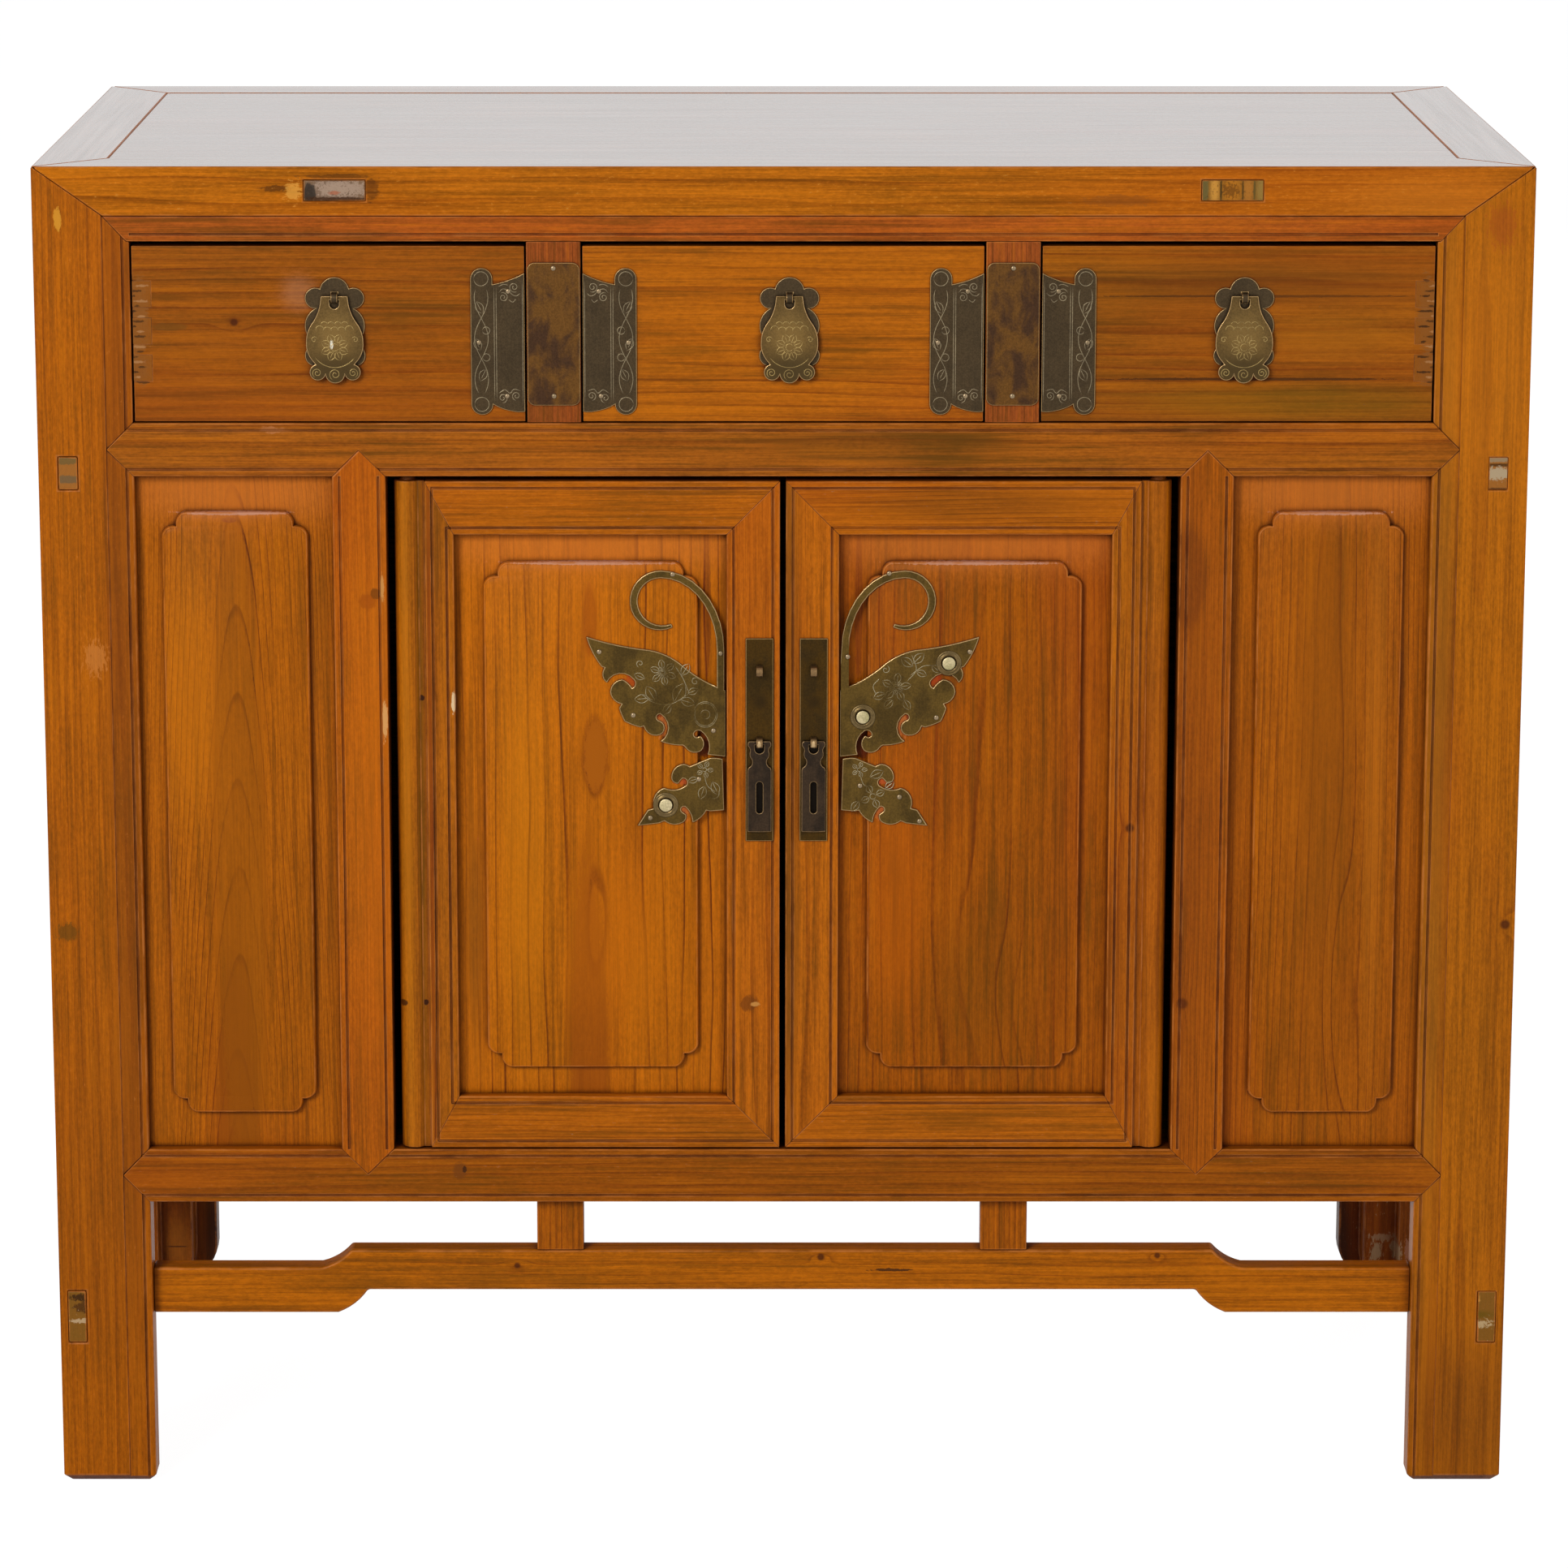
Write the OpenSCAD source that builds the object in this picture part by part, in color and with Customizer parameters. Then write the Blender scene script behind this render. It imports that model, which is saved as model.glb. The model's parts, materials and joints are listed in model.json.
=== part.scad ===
// Lacquered side cabinet: three drawers over a pair of panelled doors, on four
// legs with a hump-backed front stretcher. Millimetres, +Z up, front towards -Y,
// origin on the floor under the middle of the whole piece.

/* [Case] */
// Width over the posts
case_w = 965; // [940:5:1040]
// Depth over the posts
case_d = 480; // [440:5:560]
// Height from the floor to the top
case_h = 888; // [870:2:940]

/* [Heights] */
// Thickness of the top frame
top_t = 32; // [30:1:40]
// Height of the frieze strip under the top
frieze_h = 16.5; // [14:0.5:20]
// Height of the drawer opening
drawer_open_h = 118; // [112:1:130]
// Height of the rail under the drawers
drawer_rail_h = 35; // [32:1:42]
// Height of the door opening
door_open_h = 453.5; // [430:0.5:470]
// Height of the rail under the doors
base_rail_h = 36.5; // [32:0.5:44]

/* [Posts] */
// Width of each face of a post
post_w = 62; // [60:1:68]
// Thickness of a post's two arms
post_arm = 22; // [21:0.5:24]
// Side of a post's square core
post_core = 46; // [45:1:50]
// Width of the outer flat on a post's face
post_flat = 44.5; // [42:0.5:45]
// Bevel round the foot of a post
foot_bevel = 5; // [2:1:8]

/* [Mouldings] */
// Width of the bead along an inner edge
bead_w = 4; // [3:0.5:5]
// Width of a scratched line beside a bead
line_w = 1.4; // [1:0.2:2]
// Depth of a scratched line
line_d = 1.2; // [0.6:0.2:2]
// Width of the channel beside a post's flat
channel_w = 2; // [1:0.5:3]

/* [Rails] */
// Depth of a front or back rail
rail_d = 38; // [34:1:42]
// Thickness of the pointed front of a rail
spear_t = 6; // [5:0.5:7]
// Depth from the face to a rail's tenon
tenon_in = 9; // [8:0.5:10]
// Thickness of a rail's tenon
tenon_t = 10; // [8:0.5:11]
// Length of a rail's tenon
tenon_len = 30; // [24:1:31]
// Shoulder above and below a rail's tenon
tenon_shoulder = 5; // [5:0.5:7]
// Length of the short tenons on uprights
stub_len = 12; // [8:1:16]
// Width of the short tenons on uprights
stub_w = 22; // [16:1:22]

/* [Side frames] */
// Thickness of a side rail
side_rail_t = 30; // [27:0.5:31]
// Height of a side rail
side_rail_h = 35; // [32:1:38]
// Drop of the upper side rail below the rail under the drawers
side_rail_drop = 15.5; // [8:0.5:24]
// Distance of a side tenon from the outer face
side_tenon_in = 13; // [11:0.5:14]
// Thickness of a side tenon
side_tenon_t = 12.5; // [10:0.5:13]
// Height of a side tenon
side_tenon_h = 21.5; // [18:0.5:25]
// Drop of a low side stretcher below the front one
low_drop = 21.5; // [6:0.5:36]
// Height of a low side stretcher
low_h = 44; // [40:1:50]
// Thickness of a low side stretcher
low_t = 19; // [16:1:20]
// Setback of a low side stretcher from the face
low_in = 2; // [1:0.5:3]
// Thickness of a low stretcher's tenon
low_tenon_t = 12.5; // [10:0.5:13]
// Height of a low stretcher's tenon
low_tenon_h = 36; // [30:1:38]

/* [Panels] */
// Thickness of a panel's edge
panel_t = 6; // [5:0.5:7]
// Depth that a panel runs into its frame
panel_lip = 5; // [3:0.5:5]
// Setback of a front panel's edge from the face
panel_in = 9; // [8:0.5:10]
// Height of a raised field over its panel
field_t = 5; // [3:0.5:6]
// Border beside a fixed panel's field
side_field_x = 16.5; // [12:0.5:22]
// Border above and below a fixed panel's field
side_field_z = 24; // [16:0.5:30]
// Border beside a door panel's field
door_field_x = 18.7; // [14:0.5:24]
// Border above and below a door panel's field
door_field_z = 18.5; // [14:0.5:24]
// Reach of the notched corner of a field
corner_reach = 15.5; // [12:0.5:18]
// Depth of the notch in that corner
corner_notch = 9.3; // [7:0.1:11]
// Roundness of the two lobes of that corner
corner_bulge = 0.4; // [0.2:0.05:0.4]
// Setback of the side and back panels
back_panel_in = 8; // [7:0.5:10]
// Thickness of the side and back panels
back_panel_t = 8; // [6:0.5:9]
// Thickness of the cupboard's floor boards
floor_t = 10; // [8:1:12]
// Drop of the floor below the base rail's top
floor_drop = 8; // [6:0.5:10]
// Number of floor boards
floor_boards_n = 4; // [3:1:5]
// Gap between two floor boards
board_gap = 0.4; // [0.3:0.1:1]
// Gap round the posts in the floor boards
floor_gap = 0.5; // [0.3:0.1:1]

/* [Top] */
// Width of the top frame's members
frame_w = 45; // [45:1:56]
// Thickness of the top panel
top_panel_t = 8.5; // [8:0.5:12]
// Thickness of the top panel's tongue
tongue_t = 4.5; // [3:0.5:6]
// Length of the top panel's tongue
tongue_len = 8; // [6:1:12]
// Drop of the top panel below its frame
top_drop = 0.3; // [0:0.1:1]
// Distance of a batten from the middle
batten_x = 288; // [250:1:320]
// Width of a batten
batten_w = 39.5; // [32:0.5:46]
// Height of a batten
batten_h = 26; // [22:1:30]
// Height of a batten's tenon
batten_tenon_h = 13.3; // [10:0.1:16]

/* [Uprights] */
// Distance of a mullion from the middle
mullion_x = 275; // [270:1:285]
// Width of a mullion
mullion_w = 34.5; // [32:0.5:38]
// Depth of a mullion
mullion_d = 30; // [26:1:34]
// Setback of a divider's tenons from its back
stub_in = 1; // [0.5:0.5:2]
// Distance of a drawer divider from the middle
divider_x = 148; // [140:1:160]
// Width of a drawer divider
divider_w = 35; // [32:0.5:40]
// Depth of a drawer divider
divider_d = 22; // [20:1:26]
// Setback of a drawer divider from the face
divider_in = 1; // [0.5:0.1:1]
// Thickness of the frieze strip
frieze_t = 10; // [8:0.5:11]
// Setback of the frieze strip from the face
frieze_in = 1; // [0.5:0.1:1]
// Width of a divider's brass plate
divider_plate_w = 34; // [28:0.5:34]
// Height of a divider's brass plate
divider_plate_h = 93; // [80:1:100]
// Drop of a divider's brass plate below the middle
divider_plate_drop = 1; // [0:0.5:4]
// Corner radius of a divider's brass plate
divider_plate_r = 5; // [2:1:8]

/* [Stretcher] */
// Clear height between the stretcher and the rail under the doors
strut_h = 36.5; // [26:0.5:46]
// Height of the stretcher's ends
stretcher_h = 31.5; // [28:0.5:36]
// Height of the stretcher's raised middle
hump_h = 28; // [24:0.5:34]
// Rise of the stretcher's underside
hump_rise = 16; // [8:0.5:18]
// Half length of the raised top
hump_top_x = 288; // [200:1:320]
// Half length of the raised underside
hump_low_x = 277; // [190:1:300]
// Length of the sweep at each end of the rise
hump_sweep = 20; // [14:1:30]
// Roundness of that sweep
sweep_bulge = 0.16; // [0.05:0.01:0.25]
// Thickness of the stretcher
stretcher_t = 18; // [14:1:22]
// Setback of the stretcher from the face
stretcher_in = 10; // [8:0.5:12]
// Thickness of the stretcher's tenon
stretcher_tenon_t = 8; // [6:0.5:9]
// Setback of that tenon from the stretcher's face
stretcher_tenon_in = 2; // [1:0.5:4]
// Width of the struts
strut_w = 31; // [26:1:36]

/* [Doors] */
// Gap between the two doors
door_gap = 3.7; // [2:0.1:5]
// Gap under a door
door_gap_low = 0.8; // [0.5:0.1:2]
// Gap over a door
door_gap_top = 3.2; // [2:0.1:4]
// Setback of a door's face
door_in = 1; // [0.5:0.1:1]
// Thickness of a door
door_t = 22; // [20:0.5:24]
// Gap between a door's round edge and the mullion
pivot_gap = 5.2; // [5:0.1:7]
// Radius of a door's round edge
pivot_r = 8.7; // [8:0.1:8.8]
// Radius of a pivot pin
pin_r = 5; // [4:0.1:5.5]
// Length of a pivot pin
pin_len = 10; // [8:0.5:11]
// Play round a pivot pin
pin_play = 0.08; // [0.03:0.01:0.1]
// Play past the end of a pivot pin
pin_end = 0.3; // [0.2:0.1:0.5]
// Width of the channel beside a door's round edge
pivot_channel = 2.4; // [2:0.1:3]
// Depth of that channel
pivot_channel_d = 3; // [2:0.5:4]
// Width of a hinge stile beside the channel
hinge_stile_w = 18.8; // [16:0.1:24]
// Width of a meeting stile
meeting_stile_w = 34.8; // [32:0.1:40]
// Height of a door's rails
door_rail_h = 35.5; // [30:0.5:42]
// Thickness of a door's tenons
door_tenon_t = 8; // [6:0.5:9]
// Shoulder beside a door's tenon
door_tenon_shoulder = 7; // [6:0.5:9]
// Reach of a tenon into the hinge stile
hinge_tenon_len = 14; // [10:1:15]
// Reach of a tenon into the meeting stile
meeting_tenon_len = 24; // [16:1:26]

/* [Drawers] */
// Gap beside a drawer
drawer_gap = 1.2; // [0.8:0.1:2]
// Gap under a drawer's front
drawer_gap_low = 0.8; // [0.5:0.1:1.5]
// Gap over a drawer's front
drawer_gap_top = 3; // [2:0.1:5]
// Setback of a drawer's front
drawer_in = 2; // [1:0.5:3]
// Thickness of a drawer's front
drawer_front_t = 18; // [16:1:22]
// Thickness of a drawer's sides
drawer_side_t = 12; // [10:0.5:14]
// Thickness of a drawer's back
drawer_back_t = 12; // [10:0.5:14]
// Length of a drawer
drawer_len = 420; // [360:5:420]
// Height that a drawer's sides stop below its front
drawer_side_drop = 6; // [2:1:12]
// Thickness of a drawer's bottom
drawer_bottom_t = 5; // [4:0.5:8]
// Height of a drawer's bottom over its sides' lower edge
drawer_bottom_z = 6; // [5:0.5:10]
// Depth of the groove for a drawer's bottom
drawer_groove = 4; // [3:0.5:6]
// Gap between a drawer and its runners
slide_gap = 0.3; // [0.2:0.1:0.5]
// Number of dovetails at a drawer's corner
tail_n = 3; // [2:1:4]
// Spacing of the dovetails
tail_pitch = 24; // [20:1:26]
// Wide end of a dovetail
tail_wide = 17; // [12:0.5:19]
// Narrow end of a dovetail
tail_narrow = 13; // [8:0.5:14]
// Height of the middle dovetail over the drawer's underside
tail_mid_z = 59; // [48:1:62]
// Height of the runners
runner_h = 22; // [16:1:28]
// Width of the ledge that a runner gives a drawer
runner_ledge = 15; // [12:1:24]
// Height of the guide strips
guide_h = 20; // [12:1:30]

/* [Brass] */
// Thickness of the brass plates
plate_t = 1.2; // [0.8:0.1:2]
// Inner radius of a staple
staple_r = 2.2; // [2.1:0.1:2.6]
// Thickness of a staple's strap
staple_t = 1.3; // [1:0.1:1.6]
// Width of a staple's strap
staple_w = 4.2; // [3:0.1:4.6]
// Stand of the padlock staples off their plate
hasp_stand = 4; // [3:0.5:7]
// Thickness of a hanging pull
pull_t = 2.2; // [1.6:0.1:2.4]
// Height of the bar that a pull hangs by
bar_h = 2.6; // [2:0.1:2.8]
// Half width of the hole under that bar
hole_r = 3; // [2.7:0.1:3.4]
// Height of that hole
hole_h = 5.6; // [5.3:0.1:7]
// Width of a scroll plate
scroll_w = 34.8; // [28:0.1:40]
// Height of a scroll plate
scroll_h = 95.5; // [80:0.5:104]
// Width of the rolled part of a scroll plate
roll_w = 14.2; // [10:0.1:18]
// Height of a scroll plate over the drawer's underside
scroll_z = 4.5; // [2:0.5:8]
// Sideways place of a drawer's pull from its middle
handle_x = 4; // [-6:1:6]
// Height of a drawer's pull bar over the drawer's underside
handle_z = 81; // [70:1:90]
// Width of a lock plate
lock_w = 18.2; // [16:0.1:22]
// Height of a lock plate
lock_h = 135.8; // [120:0.1:150]
// Height of a lock plate over the door's lower edge
lock_z = 209.8; // [180:0.1:240]
// Height of the padlock staple over the plate's lower edge
hasp_z = 114.5; // [100:0.5:120]
// Height of the pull staple over the plate's lower edge
tag_z = 66.5; // [62:0.5:74]
// Distance of the left lock plate from the middle
lock_left_x = 15.2; // [13:0.1:22]
// Distance of the right lock plate from the middle
lock_right_x = 20.2; // [13:0.1:22]
// Gap between the butterfly and the meeting stile
wing_gap = 0.5; // [0.3:0.1:2]
// Height of the butterfly's split over the door's lower edge
wing_z = 266; // [220:1:300]
// Width of the butterfly's feeler
feeler_w = 5.2; // [3:0.1:7]
// Width of the feeler at its tip
feeler_tip = 2.6; // [1.5:0.1:4]
// Radius of the feeler's curl
feeler_r = 17.8; // [12:0.1:22]

/* [Hidden] */
$fn = 48;

// How far a cut runs past the surface that it starts on
over = 1;
// Chords that stand for each arc of an outline
arc_steps = 6;

// Which drawer or door a module makes
LEFT = -1;
MIDDLE = 0;
RIGHT = 1;

// Colours
lacquer = "#B26A1E";
lacquer_red = "#9A4C22";
inner_wood = "#B98A52";
brass = "#6E6238";
brass_pull = "#857A48";

// Half sizes and inner faces of the posts
half_w = case_w / 2;
post_in = half_w - post_w;
core_in = half_w - post_core;
flat_in = half_w - post_flat;
spear_len = post_w - post_flat;
low_out = half_w - low_in;
side_tenon_x = [half_w - side_tenon_in - side_tenon_t, half_w - side_tenon_in];
low_tenon_in = low_in + (low_t - low_tenon_t) / 2;
low_tenon_x = [half_w - low_tenon_in - low_tenon_t, half_w - low_tenon_in];

// Levels, from the top down
frame_z = case_h - top_t;
frieze_z = frame_z - frieze_h;
drawer_rail_top = frieze_z - drawer_open_h;
drawer_rail_z = drawer_rail_top - drawer_rail_h;
base_top = drawer_rail_z - door_open_h;
base_z = base_top - base_rail_h;
side_mid_z = (drawer_rail_z + drawer_rail_top) / 2 - side_rail_drop;
side_mid = [side_mid_z - side_rail_h / 2, side_mid_z + side_rail_h / 2];
side_low = [base_z, base_top];
hump_top = base_z - strut_h;
hump_z = hump_top - hump_h;
stretcher_z = hump_z - hump_rise;
stretcher_top = stretcher_z + stretcher_h;
low_z = stretcher_z - low_drop;
batten_top = case_h - top_drop - top_panel_t;

// Tenon of a front or back rail between two levels
tenon_y = [tenon_in, tenon_in + tenon_t];

// Doors
door_z = base_top + door_gap_low;
door_top = drawer_rail_z - door_gap_top;
door_y = [door_in, door_in + door_t];
mullion_in = mullion_x - mullion_w / 2;
mullion_out = mullion_x + mullion_w / 2;
axis_x = mullion_in - pivot_gap - pivot_r;
axis_y = door_in + pivot_r;
door_edge_in = door_gap / 2;
door_edge_out = axis_x - pivot_r - pivot_channel;
opening_in = door_edge_in + meeting_stile_w;
opening_out = door_edge_out - hinge_stile_w;
opening_z = door_z + door_rail_h;
opening_top = door_top - door_rail_h;
door_panel_y = panel_in + door_in;
door_field_y = door_panel_y - field_t;
door_tenon_y = [door_panel_y, door_panel_y + door_tenon_t];

// Drawers
drawer_z = drawer_rail_top + drawer_gap_low;
drawer_top = frieze_z - drawer_gap_top;
drawer_side_top = drawer_top - drawer_side_drop;
drawer_front_y = [drawer_in, drawer_in + drawer_front_t];
drawer_back_y = [drawer_in + drawer_len - drawer_back_t, drawer_in + drawer_len];
drawer_bottom = [drawer_z + drawer_bottom_z, drawer_z + drawer_bottom_z + drawer_bottom_t];
runner_top = drawer_z - slide_gap;
runner_z = runner_top - runner_h;

// Brass fittings
ring_out = staple_r + staple_t;
drawer_plate_y = drawer_in - plate_t;
door_plate_y = door_in - plate_t;
wing_y = door_field_y - plate_t;
wing_x = opening_in + wing_gap;

// The whole piece stands centred over its origin, brass included
proud = hasp_stand + ring_out - door_plate_y;
mid_y = (case_d - proud) / 2;

// Left and right extent of a drawer
function drawer_x(i) =
    i == MIDDLE
        ? [-divider_x + divider_w / 2 + drawer_gap, divider_x - divider_w / 2 - drawer_gap]
        : i == RIGHT
            ? [divider_x + divider_w / 2 + drawer_gap, post_in - drawer_gap]
            : [-post_in + drawer_gap, -divider_x - divider_w / 2 - drawer_gap];
function middle(r) = (r[0] + r[1]) / 2;

// Points along the arc from p to q, without q: the bulge is the tangent of a
// quarter of the arc's angle, positive when the arc turns to the left
function arc_points(p, q, bulge) =
    bulge == 0
        ? [p]
        : let (
            d = q - p,
            c = (p + q) / 2 + (1 - bulge * bulge) / (4 * bulge) * [-d.y, d.x],
            turn = 4 * atan(bulge) / arc_steps,
            r = p - c
        )
        [for (i = [0:arc_steps - 1]) let (a = turn * i)
            c + [r.x * cos(a) - r.y * sin(a), r.x * sin(a) + r.y * cos(a)]];

// Closed outline from corners given as [x, y, bulge of the side that follows]
function outline(v) = [
    for (i = [0:len(v) - 1]) let (n = v[(i + 1) % len(v)])
        each arc_points([v[i].x, v[i].y], [n.x, n.y], v[i][2])
];

// Closed outline from the corners of its right half, listed upwards: base is
// the bulge of the side that joins the two halves below
function both_halves(v, base) = outline(concat(v, [
    for (i = [len(v) - 1:-1:0]) [-v[i].x, v[i].y, i > 0 ? v[i - 1][2] : base]
]));

// Stands everything over the origin
module in_place() {
    translate([0, -mid_y, 0]) children();
}

// Box from its extent on each axis
module span(x, y, z) {
    translate([x[0], y[0], z[0]]) cube([x[1] - x[0], y[1] - y[0], z[1] - z[0]]);
}

// Extrudes a front-view drawing from y[0] to y[1]
module front_view(y) {
    translate([0, y[1], 0]) rotate([90, 0, 0]) linear_extrude(y[1] - y[0]) children();
}

// Extrudes a side-view drawing from x[0] to x[1]
module side_view(x) {
    translate([x[0], 0, 0]) rotate([90, 0, 90]) linear_extrude(x[1] - x[0]) children();
}

// Extrudes a plan drawing from z[0] to z[1]
module plan_view(z) {
    translate([0, 0, z[0]]) linear_extrude(z[1] - z[0]) children();
}

// A right-hand piece on its own side
module on_side(s) {
    mirror([s < 0 ? 1 : 0, 0, 0]) children();
}

// A front piece at the front or at the back
module at_depth(rear) {
    if (rear) translate([0, case_d, 0]) mirror([0, 1, 0]) children();
    else children();
}

module both_sides() {
    for (s = [LEFT, RIGHT]) on_side(s) children();
}

module both_depths() {
    for (rear = [false, true]) at_depth(rear) children();
}

// Posts

// Section of a post, its outer corner at the origin
module post_section() {
    band = post_flat + channel_w;
    difference() {
        union() {
            square(post_core);
            square([post_w, post_arm]);
            square([post_arm, post_w]);
        }
        for (t = [0, 1]) mirror([t, -t]) {
            translate([post_flat, -over]) square([channel_w, line_d + over]);
            translate([band, -over]) square([post_w - band + over, divider_in + over]);
            translate([post_w - bead_w - line_w, 0]) square([line_w, divider_in + line_d]);
        }
    }
}

// Face of a post from the bevelled foot to the three-way mitre at its head
module post_face() {
    polygon([
        [half_w - foot_bevel, 0], [post_in + foot_bevel, 0], [post_in, foot_bevel],
        [post_in, frame_z], [half_w - frame_w, frame_z], [half_w, case_h],
        [half_w, foot_bevel]
    ]);
}

// Cuts for everything that runs into a front right post
module post_mortises(rear) {
    for (z = [[drawer_rail_z, drawer_rail_top], [base_z, base_top]]) {
        rail_tenon(z);
        if (!rear) rail_spear(z, over);
    }
    for (z = [side_mid, side_low]) side_spear(z, over);
    side_through_tenon();
    side_blind_tenon();
    low_tenon();
    side_panel_blank(upper_side_panel_z());
    side_panel_blank(lower_side_panel_z());
    if (rear) {
        back_panel_blank(upper_back_panel_z());
        back_panel_blank(lower_back_panel_z());
    } else {
        front_panel_blank();
        frieze_blank();
        stretcher_tenon();
    }
}

module post(s, rear) {
    color(lacquer) in_place() on_side(s) at_depth(rear) difference() {
        intersection() {
            plan_view([0, case_h]) translate([half_w, 0]) mirror([1, 0]) post_section();
            front_view([0, post_w]) post_face();
            side_view([post_in, half_w]) translate([half_w, 0]) mirror([1, 0]) post_face();
        }
        post_mortises(rear);
    }
}

module post_front_left() post(LEFT, false);
module post_front_right() post(RIGHT, false);
module post_rear_left() post(LEFT, true);
module post_rear_right() post(RIGHT, true);

// Top frame

// Right-hand batten with its through tenons
module batten() {
    x = [batten_x - batten_w / 2, batten_x + batten_w / 2];
    span(x, [frame_w, case_d - frame_w], [batten_top - batten_h, batten_top]);
    span(x, [0, case_d], [batten_top - batten_tenon_h, batten_top]);
}

module top_panel_blank() {
    field = half_w - frame_w;
    lip = field + tongue_len;
    span([-field, field], [frame_w, case_d - frame_w], [batten_top, case_h - top_drop]);
    span([-lip, lip], [frame_w - tongue_len, case_d - frame_w + tongue_len],
        [batten_top, batten_top + tongue_t]);
}

// Plan of a mitred member that lies along the front
module frame_plan(length) {
    polygon([
        [-length / 2, 0], [length / 2, 0],
        [length / 2 - frame_w, frame_w], [-length / 2 + frame_w, frame_w]
    ]);
}

// Face of a mitred member, its ends cut to meet the posts
module frame_face(length) {
    polygon([
        [-length / 2, case_h], [-length / 2 + frame_w, frame_z],
        [length / 2 - frame_w, frame_z], [length / 2, case_h]
    ]);
}

module top_long_rail(rear) {
    color(lacquer) in_place() at_depth(rear) difference() {
        intersection() {
            plan_view([frame_z, case_h]) frame_plan(case_w);
            front_view([0, frame_w]) frame_face(case_w);
        }
        top_panel_blank();
        both_sides() batten();
        if (rear) both_sides() back_panel_blank(upper_back_panel_z());
        else both_sides() divider_blank();
    }
}

module top_rail_front() top_long_rail(false);
module top_rail_rear() top_long_rail(true);

module top_end_rails() {
    color(lacquer) in_place() both_sides() difference() {
        intersection() {
            plan_view([frame_z, case_h]) translate([half_w, case_d / 2]) rotate(90)
                frame_plan(case_d);
            side_view([half_w - frame_w, half_w]) translate([case_d / 2, 0])
                frame_face(case_d);
        }
        top_panel_blank();
        side_panel_blank(upper_side_panel_z());
    }
}

module top_panel() {
    color(lacquer) in_place() top_panel_blank();
}

module top_battens() {
    color(inner_wood) in_place() both_sides() batten();
}

// Front frame

// Tenons on both ends of a rail that spans z
module rail_tenon(z) {
    span([post_in, post_in + tenon_len], tenon_y, [z[0] + tenon_shoulder, z[1] - tenon_shoulder]);
}

// Pointed end of a rail's face, let into the post
module rail_spear(z, past) {
    front_view([-past, spear_t]) polygon([
        [post_in - over, z[0]], [post_in, z[0]], [flat_in, middle(z)],
        [post_in, z[1]], [post_in - over, z[1]]
    ]);
}

// Scratched lines beside the beads of a member that spans z
module rail_lines(z) {
    for (z0 = [z[0] + bead_w, z[1] - bead_w - line_w])
        span([-flat_in, flat_in], [-over, line_d], [z0, z0 + line_w]);
}

module rail_blank(z) {
    difference() {
        union() {
            span([-post_in, post_in], [0, rail_d], z);
            both_sides() {
                rail_tenon(z);
                rail_spear(z, 0);
            }
        }
        rail_lines(z);
    }
}

// Pointed ends and stub tenons of the right mullion
module mullion_ends(past) {
    half = mullion_w / 2;
    x = [mullion_x - half, mullion_x + half];
    front_view([-past, spear_t]) polygon([
        [x[0], base_top], [mullion_x, base_top - half], [x[1], base_top],
        [x[1], drawer_rail_z], [mullion_x, drawer_rail_z + half], [x[0], drawer_rail_z]
    ]);
    span([mullion_x - stub_w / 2, mullion_x + stub_w / 2], tenon_y,
        [base_top - stub_len, drawer_rail_z + stub_len]);
}

module mullion_blank() {
    x = [mullion_x - mullion_w / 2, mullion_x + mullion_w / 2];
    difference() {
        union() {
            span(x, [0, mullion_d], [base_top, drawer_rail_z]);
            mullion_ends(0);
        }
        for (x0 = [x[0] + bead_w, x[1] - bead_w - line_w])
            span([x0, x0 + line_w], [-over, line_d], [base_top, drawer_rail_z]);
        front_panel_blank();
    }
}

module mullions() {
    color(lacquer) in_place() both_sides() mullion_blank();
}

// Socket for a pivot pin, between two levels
module pivot_socket(z) {
    translate([axis_x, axis_y, z[0]]) cylinder(r = pin_r + pin_play, h = z[1] - z[0]);
}

module drawer_rail() {
    depth = pin_len - door_gap_top + pin_end;
    color(lacquer) in_place() difference() {
        rail_blank([drawer_rail_z, drawer_rail_top]);
        both_sides() {
            mullion_ends(over);
            pivot_socket([drawer_rail_z - over, drawer_rail_z + depth]);
            divider_blank();
            front_panel_blank();
            runner_blanks();
        }
    }
}

module base_rail() {
    depth = pin_len - door_gap_low + pin_end;
    color(lacquer) in_place() difference() {
        rail_blank([base_z, base_top]);
        both_sides() {
            mullion_ends(over);
            pivot_socket([base_top - depth, base_top + over]);
            front_panel_blank();
            strut();
        }
        floor_blank();
    }
}

// Frieze strip, mitred into the inner band of the posts
module frieze_blank() {
    low = post_in + bead_w / 2;
    high = low + frieze_h;
    top = min(high, flat_in);
    front_view([frieze_in, frieze_in + frieze_t]) polygon([
        [-top, frame_z], [-low, frieze_z], [low, frieze_z], [top, frame_z]
    ]);
}

module frieze_strip() {
    color(lacquer_red) in_place() difference() {
        frieze_blank();
        span([-post_in, post_in], [0, frieze_in + line_d], [frieze_z + bead_w, frieze_z + bead_w + line_w]);
    }
}

// Right drawer divider: it stands behind the frieze and is tenoned at both ends
module divider_blank() {
    x = [divider_x - divider_w / 2, divider_x + divider_w / 2];
    back = frieze_in + frieze_t;
    span(x, [divider_in, divider_in + divider_d], [drawer_rail_top, frieze_z]);
    span(x, [back, divider_in + divider_d], [frieze_z, frame_z]);
    span([divider_x - stub_w / 2, divider_x + stub_w / 2], [back, divider_in + divider_d - stub_in],
        [drawer_rail_top - stub_len, frame_z + stub_len / 2]);
}

module drawer_dividers() {
    color(lacquer_red) in_place() both_sides() divider_blank();
}

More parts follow.
